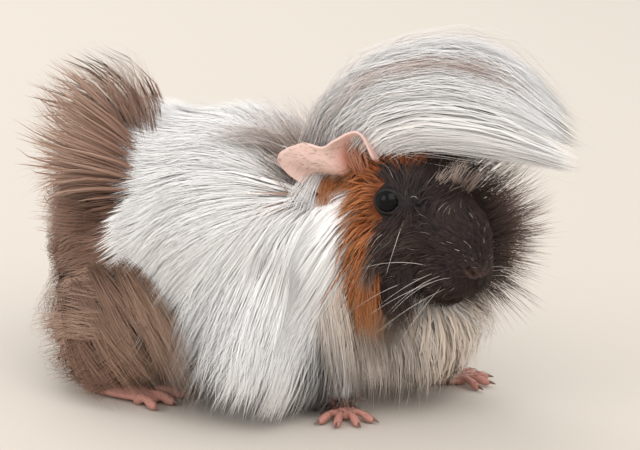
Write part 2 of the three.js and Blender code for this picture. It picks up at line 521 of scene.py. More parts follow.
# %% [markdown]
# ## Ears
# A guinea pig's ear is a thin drooping petal: the front lobe is a shallow cup, and the back lobe folds
# over behind it. Each ear is one sheet between its root on the skull and its rim, bulged one way in front
# and the other way behind, and then given a thickness that thins towards the rim.
# %% Root and rim of an ear
EAR_BASE = [
    (-14.5, 9, 15.5), (-14.5, 11, 15), (-15, 15, 13.5), (-15.5, 19, 11),
    (-16, 22, 8), (-16, 24, 4), (-16, 24, 0), (-16, 25, -4),
]
EAR_RIM = [
    (-19.5, 8.5, 20.5), (-24, 15.5, 29.5), (-29.5, 22, 25), (-32.5, 25.5, 19),
    (-37, 32.5, 17), (-43, 38.5, 9), (-38, 36.5, 1.5), (-25, 29, -5.5),
]
EAR_HALF_THICK = 0.85
EAR_FACING = unit(np.array([-0.59, -0.68, -0.43]))


def through(corners, shares):
    """A smooth curve through points, at shares from 0 to 1 of its length in steps."""
    corners = np.asarray(corners, float)
    padded = np.concatenate([2 * corners[:1] - corners[1:2], corners, 2 * corners[-1:] - corners[-2:-1]])
    place = np.clip(np.asarray(shares, float), 0, 1) * (len(corners) - 1)
    index = np.minimum(place.astype(int), len(corners) - 2)
    t = (place - index).reshape(-1, *[1] * (corners.ndim - 1))
    a, b, c, d = (padded[index + k] for k in range(4))
    return 0.5 * (2 * b + (c - a) * t + (2 * a - 5 * b + 4 * c - d) * t**2 + (3 * b - a - 3 * c + d) * t**3)


def hump(value, middle, width):
    return np.exp(-(((value - middle) / width) ** 2))


# %% The sheet of one ear
def ear_sheet(side, along=56, across=22):
    """The middle of one ear as a grid of points in the head's frame. side is -1 on the right."""
    u, v = np.meshgrid(np.linspace(0, 1, along), np.linspace(0, 1, across), indexing="ij")
    base = through(EAR_BASE, u[:, 0])[:, None]
    rim = through(EAR_RIM, u[:, 0])[:, None]
    cup = np.sin(math.pi * v**0.8)
    bulge = -4.6 * cup * hump(u, 0.2, 0.17) + 4.6 * cup * hump(u, 0.56, 0.13) - 2.2 * cup * hump(u, 0.84, 0.1)
    curl = 2.2 * v**4 * hump(u, 0.3, 0.1) - 1.5 * v**4 * hump(u, 0.7, 0.2)
    sheet = base * (1 - v[..., None]) + rim * v[..., None] + (bulge + curl)[..., None] * EAR_FACING
    return sheet * (-side, 1, 1), v


# %% Both ears, with their thickness
def ear_mesh(name, side):
    """One ear as two grids of faces, front and back, joined along the edge."""
    sheet, share = ear_sheet(side)
    along, across, _ = sheet.shape
    normal = unit(np.cross(np.gradient(sheet, axis=0), np.gradient(sheet, axis=1)))
    half = (EAR_HALF_THICK - 0.4 * share[..., None] ** 2) * normal
    points = np.concatenate([(sheet + half).reshape(-1, 3), (sheet - half).reshape(-1, 3)])
    back = along * across
    faces = []
    for i in range(along - 1):
        for j in range(across - 1):
            a, b, c, d = i * across + j, (i + 1) * across + j, (i + 1) * across + j + 1, i * across + j + 1
            faces += [(a, b, c, d), (back + d, back + c, back + b, back + a)]
    rim = [i * across for i in range(along)] + [(along - 1) * across + j for j in range(1, across)]
    rim += [i * across + across - 1 for i in range(along - 2, -1, -1)] + list(range(across - 2, 0, -1))
    for a, b in zip(rim, rim[1:] + rim[:1]):
        faces.append((b, a, back + a, back + b))
    return outward_mesh(name, from_head(points), faces)


def outward_mesh(name, points, faces):
    """A closed mesh whose faces look outwards."""
    obj = mesh_object(name, points, faces)
    with edited(obj.data) as work:
        bmesh.ops.recalc_face_normals(work, faces=work.faces)
        if work.calc_volume(signed=True) < 0:
            bmesh.ops.reverse_faces(work, faces=work.faces)
    return obj


ears = [ear_mesh("ear_right", -1), ear_mesh("ear_left", 1)]
print("ears:", [len(e.data.vertices) for e in ears], "vertices")

# %% [markdown]
# ## Eyelids
# The lids are two thin dark rims that follow the eyeball and meet in a corner at each end. A closed ring,
# almond shaped and pressed on the eyeball, gives both at once.
# %% A ring round each eye
EYE_SIZE = 5.6
LID_OPENING = 58
LID_WIDTH = 1.3
LID_AXIS = unit(np.array([0.8, -0.52, 0.3]))


def angles(count):
    """Equal steps round a circle."""
    return np.linspace(0, 2 * math.pi, count, endpoint=False)


def lid_ring(name, side, around=64, sides=10):
    """Both lids of one eye, as a closed ring on the eyeball."""
    axis = LID_AXIS * (side, 1, 1)
    flat = unit(np.cross(axis, (0, 0.25, 1)))
    up = np.cross(flat, axis) * side
    flat = np.cross(up, axis)
    centre = EYE_PLACE * (side, 1, 1)
    points = []
    for a in angles(around):
        reach = math.radians(LID_OPENING - 9 * abs(math.sin(a)) ** 1.5)
        spoke = flat * math.cos(a) + up * math.sin(a)
        ray = axis * math.cos(reach) + math.sin(reach) * spoke
        outer = math.sin(reach + 0.3) * spoke + axis * math.cos(reach + 0.3)
        cross = unit(outer - ray * (outer @ ray))
        for b in angles(sides):
            off, aside = EYE_SIZE + 0.5 * math.sin(b), LID_WIDTH * math.cos(b) + 0.95
            points.append(centre + ray * off + cross * aside)
    faces = []
    for i in range(around):
        for j in range(sides):
            n, m = (i + 1) % around, (j + 1) % sides
            faces.append((i * sides + j, n * sides + j, n * sides + m, i * sides + m))
    return outward_mesh(name, from_head(points), faces)


lids = [lid_ring("lid_right", -1), lid_ring("lid_left", 1)]
print("lids:", [len(lid.data.vertices) for lid in lids], "vertices")

# %% [markdown]
# ## Feet
# The front feet have four toes and the back feet three, each a bare pink finger with a short claw. They
# are built from balls like the body, and remeshed finely. The soles are cut flat where they stand on the
# floor, as flesh under load is.
# %% Toes from balls
FOOT_GRID = 0.42
CLAW_LENGTH = 4.2
FOREFOOT = {"palm": 12.0, "toe": 12.5, "girth": 3.7, "toes": 4, "spread": 100.0}
HINDFOOT = {"palm": 35.0, "toe": 12.5, "girth": 4.4, "toes": 3, "spread": 34.0}
FEET = {
    "forefoot_right": ((-24, -51), -60, FOREFOOT),
    "forefoot_left": ((27, -71), 26, FOREFOOT),
    "hindfoot_right": ((-41, 54), -8, HINDFOOT),
    "hindfoot_left": ((41, 56), 10, HINDFOOT),
}


def foot_parts(heel, turn, palm, toe, girth, toes, spread):
    """Balls of one foot as rows of middle and half sizes, and its claws as rows of root and direction."""
    foot_turn = turned("Z", turn)
    base = np.array([*heel, 0.0])
    balls, claws = [], []
    for share in np.linspace(0, 0.92, 12):
        wide = 2.6 + (1.4 + palm * 0.1) * math.sin(math.pi * (0.15 + share * 0.62))
        balls.append((base + foot_turn @ (0, -share * palm * 0.9, 2.8), (wide, wide, 3.1 - share)))
    for i in range(toes):
        aside = i / (toes - 1) - 0.5
        way = turned("Z", turn + aside * spread) @ (0, -1, 0)
        root = base + foot_turn @ (aside * palm * 0.34, -palm * 0.78, girth * 0.55)
        reach = toe * (1 - 0.5 * aside * aside)
        for share in np.linspace(0, 0.96, 11):
            half = girth / 2 * (0.86 + 0.1 * math.cos(7.5 * share) - 0.16 * max(0, share - 0.8) * 5)
            lift = 2.2 * math.sin(math.pi * min(1, share * 1.1)) * (1 - 0.4 * share)
            balls.append((root + way * reach * share + (0, 0, lift - 0.2), (half, half, half)))
        claws.append((root + way * reach * 0.95 + (0, 0, 0.2), unit(way + (0, 0, -0.2))))
    return balls, claws


# %% Claws
def claw_mesh(gather, root, way, sides=10, rings=7):
    """A short curved horn."""
    side = unit(np.cross(way, (0, 0, 1)))
    up = np.cross(side, way)
    last = None
    for k in range(rings):
        t = k / rings
        middle = root + way * CLAW_LENGTH * t + (0, 0, 0.35) * np.array(1.2 * t - 1.9 * t * t)
        size = 0.95 * (1 - t) ** 0.7
        corners = [middle + size * (0.72 * side * math.cos(a) + up * math.sin(a)) for a in angles(sides)]
        ring = [gather.verts.new(corner) for corner in corners]
        if last:
            for a in range(sides):
                gather.faces.new((last[a], last[(a + 1) % sides], ring[(a + 1) % sides], ring[a]))
        else:
            gather.faces.new(ring[::-1])
        last = ring
    tip = gather.verts.new(root + way * CLAW_LENGTH + (0, 0, -0.25))
    for a in range(sides):
        gather.faces.new((last[a], last[(a + 1) % sides], tip))


# %% Four feet
SMOOTH_ALL_WAYS = {f"use_axis_{axis}": True for axis in "xyz"}
foot_meshes = []
claw_gather = bmesh.new()
for name, (heel, turn, size) in FEET.items():
    balls, claw_places = foot_parts(heel, turn, **size)
    gather = bmesh.new()
    for middle, half in balls:
        lump_ball(gather, middle, half)
    foot = remeshed(name, gather, FOOT_GRID)
    with edited(foot.data) as work:
        for _ in range(3):
            bmesh.ops.smooth_vert(work, verts=work.verts, factor=0.5, **SMOOTH_ALL_WAYS)
        for vert in work.verts:
            vert.co.z = max(vert.co.z, 0.0)
    foot_meshes.append(foot)
    for root, way in claw_places:
        claw_mesh(claw_gather, root, way)
bmesh.ops.recalc_face_normals(claw_gather, faces=claw_gather.faces)
claws = linked("claws", mesh_of("claws", claw_gather))
print("feet:", [len(f.data.vertices) for f in foot_meshes], "vertices")

# %% One skin from body, ears, lids and feet
parts = ears + lids + foot_meshes
for piece in parts:
    join = skin.modifiers.new("join", "BOOLEAN")
    join.operation = "UNION"
    join.solver = "MANIFOLD"
    join.object = piece
apply_modifiers(skin)
for piece in parts:
    bpy.data.objects.remove(piece)
places = corners_of(skin.data)
triangles = sum(len(p.vertices) - 2 for p in skin.data.polygons)
print("whole skin:", len(skin.data.vertices), "vertices,", triangles, "triangles")

# %% [markdown]
# ## Markings
# One function says what colour the hair is where it grows. The skin under the coat asks the same
# function, so a thin place in the coat never shows a wrong colour. Each zone has a colour at the root,
# half-way and at the tip, because long hair is darkest at its root and bleached at its tip.
# %% Colours of the coat, from root to tip
TABLE = {
    "white": ((242, 238, 236), (246, 244, 242), (249, 247, 246)),
    "taupe": ((132, 108, 97), (166, 144, 132), (222, 213, 207)),
    "brown": ((76, 52, 42), (138, 105, 88), (184, 154, 136)),
    "dark": ((22, 16, 15), (40, 29, 27), (80, 62, 56)),
    "orange": ((98, 48, 23), (164, 92, 47), (206, 148, 102)),
    "cream": ((150, 118, 100), (214, 190, 172), (238, 226, 214)),
    "ruff": ((44, 32, 28), (78, 59, 52), (124, 102, 92)),
    "pale_brown": ((92, 68, 56), (150, 118, 99), (200, 168, 146)),
    "streak": ((140, 118, 108), (178, 160, 150), (232, 226, 222)),
    "grizzled": ((50, 36, 30), (92, 72, 62), (172, 150, 136)),
    "misty": ((72, 56, 50), (150, 128, 115), (226, 210, 197)),
    "fox": ((120, 64, 32), (174, 106, 62), (206, 154, 112)),
    "sandy": ((160, 98, 58), (198, 146, 106), (222, 190, 162)),
    "rosy": ((150, 84, 60), (206, 142, 114), (228, 182, 156)),
    "whisker": ((150, 130, 122), (226, 218, 212), (240, 236, 232)),
}
TABLE = {name: linear(*tints) for name, tints in TABLE.items()}
# A darker, warmer white for the locks that hang from the breast: partly cream hair and partly painted shade
# under the chest.
TABLE["shaded_cream_white"] = TABLE["white"] * (0.9, 0.82, 0.75)
print("colours of hair:", ", ".join(TABLE))


# %% Colours as arrays
def dyed(name, count):
    """One row of the table for each of so many strands."""
    return np.repeat(TABLE[name][None], count, axis=0)


# %% Where one colour ends and the next begins
def wander(points, reach, seed):
    """A smooth random value from about -1 to 1 that changes over the given reach."""
    phases = np.random.default_rng(seed)
    total = np.zeros(points.shape[:-1])
    for _ in range(5):
        way = unit(phases.normal(size=3)) * 2 * math.pi / reach * phases.uniform(0.6, 1.5)
        total += np.sin(points @ way + phases.uniform(0, 2 * math.pi))
    return total / 2.6


def face_share(points):
    """1 where the hair belongs to the head, 0 on neck and body."""
    return smooth(-1.5, 1.5, from_lumps(points, BODY, BODY_MELT) - skull_distance(points))


def behind_line(points):
    """How far places lie behind the edge between the white saddle and the brown rump."""
    x, y, z = points.T
    edge = np.interp(z, [10, 30, 40, 49, 70, 79, 86, 92, 98], [-30, -24, -8, 8, 32, 35, 31, 35, 41])
    return y - edge + 12 * smooth(8, 20, x) * smooth(70, 90, z) + 2.5 * wander(points, 16, 5)


def near(points, centre, reach, power=2):
    """1 at a centre, fading over the given reach."""
    return np.exp(-(np.linalg.norm((points - centre) / reach, axis=1) ** power))


# %% The zones of colour
def zones(points):
    """The share of each colour zone at places on the skin."""
    head = to_head(points)
    x, y, z = head.T
    jitter = wander(points, 9, 3) * 1.4
    face = face_share(points)
    band_front = 0.55 * (z - 9) - 3.0
    band_back = np.maximum(19 + 0.8 * (z + 5), 7.0)
    band = smooth(-1.2, 1.2, y - band_front + jitter) * smooth(-1.2, 1.2, band_back - y + jitter)
    band = band * smooth(-4, -8, x)
    over = 0.84 * x + 0.55 * (y + 5) + 0.6 * jitter
    crown = smooth(0.5, 3, over) * smooth(-4, 1, y) * smooth(10, 15, z) * smooth(17, 13, x)
    brow = 0.95 * smooth(-9, -7, over) * smooth(13, 15.5, z) * smooth(-5, -1, y) * smooth(5, 2, x)
    behind = smooth(-1.2, 1.2, y - band_back + jitter) * smooth(4, -4, x)
    behind = behind + smooth(14, 20, y) * smooth(-6, 2, x)
    chin = smooth(-21, -25, z) * smooth(-26, -18, y)
    white_face = np.clip(crown + behind + chin, 0, 1)
    orange = np.maximum(np.clip(band, 0, 1), brow) * (1 - crown)
    rump = smooth(-2.5, 2.5, behind_line(points))
    parting = 0.55 * near(points, (-11, -34, 88), (5, 5, 6))
    shares = {
        "dark": face * (1 - orange) * (1 - white_face),
        "orange": face * orange * (1 - white_face),
        "brown": (1 - face) * rump,
        "taupe": (1 - face) * (1 - rump) * parting,
    }
    shares["white"] = np.clip(1 - sum(shares.values()), 0, 1)
    return shares


# %% The colours of skin and strands
def coat_colours(points):
    """Root, middle and tip colour for each place on the skin, as an array (n, 3, 3)."""
    total = 0.0
    for name, share in zones(points).items():
        total = total + share[:, None, None] * TABLE[name]
    return total


def strand_colours(points, allowed=tuple(TABLE)):
    """Each strand takes one zone's colours whole, drawn by the shares, so that edges mix hair by hair."""
    shares = zones(points)
    steps = np.cumsum([share * (name in allowed) + 1e-9 for name, share in shares.items()], axis=0)
    picked = (DICE.random(len(points)) * steps[-1] > steps).sum(axis=0)
    return np.array([TABLE[name] for name in shares])[np.minimum(picked, len(shares) - 1)]


# %% [markdown]
# ## How the hair lies
# This breed's coat grows in whorls: from each centre the hair runs outwards like the spokes of a wheel,
# and where two whorls meet it makes a crest. So the lie of the coat is a sum of spokes, each fading with
# the distance from its centre, plus the pull of the ground. Combing thousands of guide curves by hand
# would be the other way, and no reader could follow it.
# %% Whorls
def spokes(points, *whorls):
    """The lie of hair round centres: place, reach and weight. Close to a centre the hair stands up."""
    total = np.zeros_like(points)
    for centre, reach, weight in whorls:
        away = points - np.array(centre, float)
        far = np.linalg.norm(away, axis=1, keepdims=True)
        total += weight * np.exp(-((far / reach) ** 2)) * away / np.sqrt(far**2 + 36)
    return total


def saddle_lie(points):
    back = 0.35 * smooth(70, 100, points[:, 2])[:, None] * np.array([0, 1, 0])
    front = smooth(-36, -52, points[:, 1])[:, None] * np.array([0, 0.9, -0.5])
    return spokes(points, ((-14, -34, 84), 95, 1.0)) + (0, 0.1, -0.25) + back + front


def rump_lie(points):
    centres = ((-17, 26, 84), 42, 1.5), ((-40, 20, 50), 30, 1.3), ((36, 24, 50), 30, 1.2)
    return spokes(points, *centres) + (0, 0.3, -0.12)


def chest_lie(points):
    return spokes(points, ((-6, -84, 62), 50, 0.5)) + (0, 0.25, -0.8)


def face_lie(points):
    """The lie on the head: back from the nose, round the eyes, up at the brow and out at the cheeks."""
    head = to_head(points)
    x, y, z = head.T
    nose, mask = ((0, -46, -4), 30, 1.3), ((8, -18, -4), 28, 1.6)
    eyes = ((-19, -8, 10), 13, 1.3), ((19, -8, 10), 13, 1.0)
    brow = smooth(5, 11, z) * smooth(-32, -24, y) * smooth(6, -2, y) * smooth(16, 9, np.abs(x - 2))
    side = smooth(-19, -8, y) * smooth(12, 2, z)
    flow = spokes(head, nose, *eyes, mask) + brow[:, None] * np.array([0.9, -0.5, 1.6])
    flow = flow + (1 - side)[:, None] * np.array([0, 0.3, 0]) + side[:, None] * np.array([0, -0.15, -1.3])
    return flow @ HEAD_AXES.T + (0, 0, -0.25)


# %% [markdown]
# ## Growing strands
# A strand starts on the skin and takes a few steps. At each step it asks where the skin and the outside
# of the coat are, climbs to its own level between them, and otherwise follows the lie of the coat.
# Strands of every level fill the coat's depth, and the outermost ones draw its outline. All strands grow
# at once as arrays, which takes seconds where a particle system would take minutes and couldn't be
# exported.
# %% Roots spread over the skin
FLESH_DEPTH = 0.8


def on_flesh(density):
    """The density without what stands off the flesh: ears, toes and lids."""
    return lambda points: density(points) * (skin_distance(points) < FLESH_DEPTH)


def sample_skin(count, density):
    """Random places on the skin, where density() weighs each face."""
    mesh = skin.data
    mesh.calc_loop_triangles()
    corners = corners_of(mesh)
    index = np.empty(3 * len(mesh.loop_triangles), np.int32)
    mesh.loop_triangles.foreach_get("vertices", index)
    a, b, c = (corners[index.reshape(-1, 3)[:, k]] for k in range(3))
    area = np.linalg.norm(np.cross(b - a, c - a), axis=1) / 2
    weight = area * np.maximum(density((a + b + c) / 3), 0)
    chosen = DICE.choice(len(weight), size=count, p=weight / weight.sum())
    s, t = DICE.random((2, count, 1))
    flip = (s + t) > 1
    s, t = np.where(flip, 1 - s, s), np.where(flip, 1 - t, t)
    return a[chosen] * (1 - s - t) + b[chosen] * s + c[chosen] * t


# %% Strands that climb to their level and follow the lie
FLOOR_GAP = 0.6


def grow(roots, lie, length, level, steps=9, stiff=0.55, lift=0.8, climb=0.38, stray=0.04):
    """Strands as an array (count, steps + 1, 3). level is 0 at the skin and 1 at the outside of the coat."""
    count = len(roots)
    strands = np.empty((count, steps + 1, 3))
    _, outward = slope(skin_distance, roots)
    strands[:, 0] = roots - 0.4 * outward
    place = roots.copy()
    way = unit(unit(lie(roots)) + np.reshape(lift, (-1, 1)) * outward)
    stiff = np.reshape(stiff, (-1, 1))
    step = (length / steps)[:, None]
    wobble = DICE.normal(size=(count, 3)) * stray
    growing = np.ones((count, 1), bool)
    for k in range(1, steps + 1):
        under, from_skin = slope(skin_distance, place)
        over, from_coat = slope(coat_distance, place)
        depth = np.maximum(under - over, 1.2)
        share = np.clip(under / depth, 0, 1.4)[:, None]
        normal = unit(from_skin * (1 - share) + from_coat * share)
        flow = lie(place) + wobble * k
        flow = flow - normal * np.sum(flow * normal, axis=1, keepdims=True)
        size = np.linalg.norm(flow, axis=1, keepdims=True)
        wanted = level * min(1.0, (k / steps / climb) ** 0.8)
        rise = np.clip((wanted - share[:, 0]) * depth / (0.3 * length), -0.75, 0.92)[:, None]
        upright = 1 - np.clip(size / 0.5, 0, 1)
        target = unit(flow) * np.sqrt(1 - rise * rise) * (1 - upright)
        target = target + normal * (rise + upright * (rise > -0.1))
        way = unit(stiff * way + (1 - stiff) * unit(target))
        ahead = place + way * step
        growing &= ahead[:, 2:] > FLOOR_GAP
        place = np.where(growing, ahead, place)
        strands[:, k] = place
    return strands


def evened(strands, points):
    """Strands with the given number of points, spread evenly along what has grown."""
    links = np.linalg.norm(np.diff(strands, axis=1), axis=2)
    reach = np.concatenate([np.zeros((len(strands), 1)), np.cumsum(links, axis=1)], axis=1)
    made = np.empty((len(strands), points, 3))
    made[:, 0] = strands[:, 0]
    rows = np.arange(len(strands))
    for k in range(1, points):
        goal = reach[:, -1] * k / (points - 1)
        index = np.clip((reach < goal[:, None] - 1e-9).sum(axis=1), 1, strands.shape[1] - 1)
        low, high = reach[rows, index - 1], reach[rows, index]
        share = ((goal - low) / np.maximum(high - low, 1e-9))[:, None]
        made[:, k] = strands[rows, index - 1] * (1 - share) + strands[rows, index] * share
    return made


def shares_of(points):
    """Shares from root to tip, in the shape of an array of strands."""
    return np.linspace(0, 1, points)[None, :, None]


def bowed(roots, way, long, bend, points=6):
    """Strands that leave their roots along way and bow by bend, both for each mm of their length."""
    share = shares_of(points)
    return roots[:, None] + way[:, None] * long * share + np.asarray(bend) * long * share**2


# %% Locks: strands lean towards a neighbour that leads them
def tree_of(points):
    tree = KDTree(len(points))
    for index, place in enumerate(points):
        tree.insert(place, index)
    tree.balance()
    return tree


def gathered(strands, per_lock, pull):
    """Strands that bend towards the nearest of some leading ones, most at the tip, and their leaders."""
    count, points, _ = strands.shape
    leaders = DICE.choice(count, size=max(1, count // per_lock), replace=False)
    key = 0.5 * (strands[:, 0] + strands[:, points // 2])
    tree = tree_of(key[leaders])
    nearest = np.array([leaders[tree.find(p)[1]] for p in key])
    strength = pull * DICE.uniform(0.4, 1.0, (count, 1, 1)) * shares_of(points) ** 1.3
    return strands + strength * (strands[nearest] - strands), nearest


# %% [markdown]
# ## Strands as closed mesh
# Each strand becomes a thin three-sided rod that tapers to a point. It is wider than it is thick and lies
# flat in the coat, as real locks do. Its normals lean towards the coat's own, because light that scatters
# from hair to hair makes a real coat shade like one soft surface. Colours are stored at the vertices,
# from root to tip. A second set of coordinates keeps each strand as a tiny patch at its root's place on
# the unrolled skin, so that colours can be baked to a picture later without mixing far places.
# %% Where a place on the skin lies on its unrolled sheet
PATCH = 0.003
BODY_MIDDLE = 55.0
HEAD_MIDDLE = -2.0
BODY_ROWS = (-100, 100), (0.02, 0.52)
HEAD_ROWS = (-48, 42), (0.55, 0.98)


def round_share(x, z):
    """How far round its axis a place lies, from 0 to 1."""
    return np.arctan2(x, z) / (2 * math.pi) + 0.5


def unrolled(points):
    """The body, rolled off round its length, fills the sheet's lower half, and the head the upper half."""
    on_head = face_share(points) > 0.5
    head = to_head(points)
    body_u = round_share(points[:, 0], points[:, 2] - BODY_MIDDLE)
    head_u = round_share(head[:, 0], head[:, 2] - HEAD_MIDDLE)
    u = np.where(on_head, head_u, body_u)
    v = np.where(on_head, np.interp(head[:, 1], *HEAD_ROWS), np.interp(points[:, 1], *BODY_ROWS))
    return np.clip(np.stack([u, v], axis=1), 0.0, 1 - PATCH)


# %% Building one coat piece
def rod_layout(rings):
    """The faces of one rod, as corner indices, with a place in its patch for every corner."""
    faces = []
    for k in range(rings - 1):
        for s in range(3):
            low, high, e = 3 * k, 3 * k + 3, (s + 1) % 3
            root_side = [(low + s, s, k), (low + e, s + 1, k)]
            faces.append(root_side + [(high + e, s + 1, k + 1), (high + s, s, k + 1)])
    last = rings - 1
    for s in range(3):
        root_side = [(3 * last + s, s, last), (3 * last + (s + 1) % 3, s + 1, last)]
        faces.append(root_side + [(3 * rings, s + 0.5, rings)])
    faces.append([(2, 2, 0), (1, 1, 0), (0, 0, 0)])
    loops = np.array([corner[0] for face in faces for corner in face])
    uv = np.array([(corner[1] / 3, corner[2] / rings) for face in faces for corner in face])
    return loops, uv, np.array([len(face) for face in faces])


# %% Rods from strands
LOWEST_HAIR = 0.15
BRIGHTEST = 0.97
PIECES = []
hair = Finish("hair", Roughness=0.55, Specular_IOR_Level=0.25)
hair.surface_takes(Base_Color=hair.paint("coat"))


def build_coat(name, strands, width, colours, thin=0.45, roll=0.5, taper=0.8, soft=0.72, roots=None,
               away=None):
    """A mesh of tapered rods. width is half the root's in mm, colours is (count, 3, 3) from root to tip."""
    count, points, _ = strands.shape
    rings = points - 1
    along = unit(np.gradient(strands, axis=1))
    if away is None:
        away = slope(coat_distance, strands.reshape(-1, 3), 0.5)[1].reshape(strands.shape)
    outward = away + roll * DICE.normal(size=(count, 1, 3))
    side = unit(np.cross(along, outward))
    over = np.cross(side, along)
    share = np.linspace(0, 1, points)
    half = np.reshape(width, (-1, 1)) * (1 - taper * share[None, :] ** 1.6)
    half = (half * (0.7 + 0.3 * np.sin(math.pi * np.minimum(1, share * 1.5 + 0.1))[None]))[:, :rings, None]
    left = strands[:, :rings] + side[:, :rings] * half
    right = strands[:, :rings] - side[:, :rings] * half
    ridge = strands[:, :rings] + over[:, :rings] * half * 2 * thin
    body = np.stack([left, right, ridge], axis=2)
    per = 3 * rings + 1
    vertices = np.concatenate([body.reshape(count, 3 * rings, 3), strands[:, -1:]], axis=1)
    vertices[..., 2] = np.maximum(vertices[..., 2], LOWEST_HAIR)
    loops, uv, sizes = rod_layout(rings)
    starts = np.concatenate([[0], np.cumsum(sizes)[:-1]])
    mesh = bpy.data.meshes.new(name)
    mesh.vertices.add(count * per)
    mesh.loops.add(count * len(loops))
    mesh.polygons.add(count * len(sizes))
    fill(mesh.vertices, "co", to_model(vertices))
    offset = np.arange(count)[:, None]
    fill(mesh.loops, "vertex_index", loops[None] + offset * per, np.int32)
    fill(mesh.polygons, "loop_start", starts[None] + offset * len(loops), np.int32)
    sheet = mesh.uv_layers.new(name="OFBake")
    corner = unrolled(strands[:, 0] if roots is None else roots)[:, None] + PATCH * uv[None]
    fill(sheet.data, "uv", corner)
    paint = mesh.color_attributes.new("coat", "FLOAT_COLOR", "POINT")
    shares = np.concatenate([np.repeat(share[:rings], 3), [1.0]])
    early = np.clip(1 - 2 * shares, 0, 1)[None, :, None]
    late = np.clip(2 * shares - 1, 0, 1)[None, :, None]
    tint = colours[:, None, 0] * early + colours[:, None, 1] * (1 - early - late) + colours[:, None, 2] * late
    tint = np.concatenate([np.clip(tint, 0, BRIGHTEST), np.ones((count, per, 1))], axis=2)
    fill(paint.data, "color", tint)
    shade_smooth(mesh)
    mesh.update(calc_edges=True)
    own = np.stack([side, -side, over], axis=2)[:, :rings]
    facing = unit(soft * away[:, :rings, None] + (1 - soft) * own).reshape(count, 3 * rings, 3)
    facing = np.concatenate([facing, away[:, -1:]], axis=1)
    mesh.normals_split_custom_set_from_vertices(unit(facing).reshape(-1, 3))
    mesh.materials.append(hair.material)
    PIECES.append(linked(name, mesh))


# %% Tone of locks and strands
def shaded(colours, leaders, spread=0.06, lock_spread=0.07):
    """Colours that vary a little from lock to lock and from strand to strand."""
    tone = DICE.normal(size=len(colours) + 1)
    own = DICE.normal(size=len(colours))
    factor = 1 + lock_spread * tone[leaders] + spread * own
    return colours * np.clip(factor, 0.6, 1.25)[:, None, None]


# %% [markdown]
# ## One layer of the coat
# Every region is laid the same way: scatter roots, grow, gather into locks and tufts, leave eyes and ears
# free, and build. A region has two layers, and the head three. The undercoat is broad flat locks that
# close the coat, and the top coat is fine. One thick layer of fine hair would need many more triangles.
# %% Keeping eyes and ears free
def blocked_places(least, offsets, before_eye=(4, 6, 8, 11, 14, 17)):
    """Places where no hair may run: before the eyes and over the open side of the ears."""
    places = []
    for side in (-1, 1):
        sheet, share = ear_sheet(side, 24, 10)
        open_part = sheet[2:-2][share[2:-2] > least]
        places += [open_part + EAR_FACING * (-side, 1, 1) * off for off in offsets]
        places += [((EYE_PLACE + LID_AXIS * off) * (side, 1, 1))[None] for off in before_eye]
    return from_head(np.concatenate(places))


face_places = blocked_places(0.55, (1.5, 4, 7))
body_places = blocked_places(0.2, (0, 2, 4, 7, 10, 13))
FACE_KEEPS_FREE = tree_of(face_places)
BODY_KEEPS_FREE = tree_of(body_places)
BESIDE_EAR = (26, 10, 12)
ROUND_EAR = 48
print("places kept free:", len(face_places), "from the face's hair,", len(body_places), "from the body's")


def free(strands, blocked=BODY_KEEPS_FREE, reach=3.2):
    """True for the strands that leave eyes and ears free."""
    close = np.linalg.norm(mirrored(to_head(strands)) - BESIDE_EAR, axis=2) < ROUND_EAR
    fine = np.ones(len(strands), bool)
    steps = np.linspace(0, 1, 4, endpoint=False)[:, None]
    for row in np.nonzero(close.any(axis=1))[0]:
        ends = strands[row]
        between = (ends[:-1, None] + (ends[1:] - ends[:-1])[:, None] * steps).reshape(-1, 3)
        fine[row] = all(blocked.find(p)[2] > reach for p in between[len(steps):])
    return fine


def build_free(name, strands, width, colours, roots=None, away=None, **build):
    """A coat piece of those strands that leave eyes and ears free."""
    kept = free(strands)
    roots, away = (part if part is None else part[kept] for part in (roots, away))
    build_coat(name, strands[kept], width, colours[kept], roots=roots, away=away, **build)


# %% Laying a region
def lay(name, count, density, lie, lengths, levels, points=5, width=0.14, locks=(110, 10), pulls=(0.4, 0.4),
        tones=(0.04, 0.04), parts=1, manner=None, tint=None, blocked=BODY_KEEPS_FREE, allowed=tuple(TABLE),
        **build):
    """One layer: roots, growth, locks and mesh. What varies over the skin is given as a function."""
    roots = sample_skin(count, on_flesh(density))
    length = lengths(roots) * DICE.uniform(0.72, 1.08, count)
    ways = manner(roots) if manner else {}
    strands = evened(grow(roots, lie, length, levels(roots), **ways), points)
    strands, lock = gathered(strands, locks[0], pulls[0])
    strands, _ = gathered(strands, locks[1], pulls[1])
    colours = strand_colours(roots, allowed)
    colours = shaded(tint(roots, colours) if tint else colours, lock, *tones)
    kept = np.nonzero(free(strands, blocked))[0]
    kept = kept[np.argsort(roots[kept, 0])]
    for part, rows in enumerate(np.array_split(kept, parts)):
        label = f"{name}_{part + 1}" if parts > 1 else name
        build_coat(label, strands[rows], width, colours[rows], **build)


# %% How far levels spread
def spread_levels(low, high=1.0):
    return lambda roots: low + (high - low) * DICE.uniform(0, 1, len(roots)) ** 0.65


# %% [markdown]
# ## The saddle and the skirts
# The white saddle falls from a parting behind the ears. Its hair is as long as a finger: it lies back
# along the spine and hangs to the floor at the sides. It grows from the trunk's skin, in locks of about
# two hundred strands that part into finer tufts. The undercoat and the top coat differ in width and level.
# %% White coat of the trunk
PARTING = np.array([-14.0, -34.0, 84.0])


def is_white(points):
    shares = zones(points)
    return (1 - face_share(points)) * (shares["white"] + shares["taupe"])


def belly(points):
    """1 where the skin looks down at the floor between the legs."""
    return smooth(34, 22, points[:, 2]) * smooth(30, 22, np.abs(points[:, 0]))


def low_leg(points):
    return smooth(13, 9, points[:, 2])


def breast(points):
    return smooth(-42, -56, points[:, 1]) * (1 - 0.75 * smooth(62, 74, points[:, 2]))


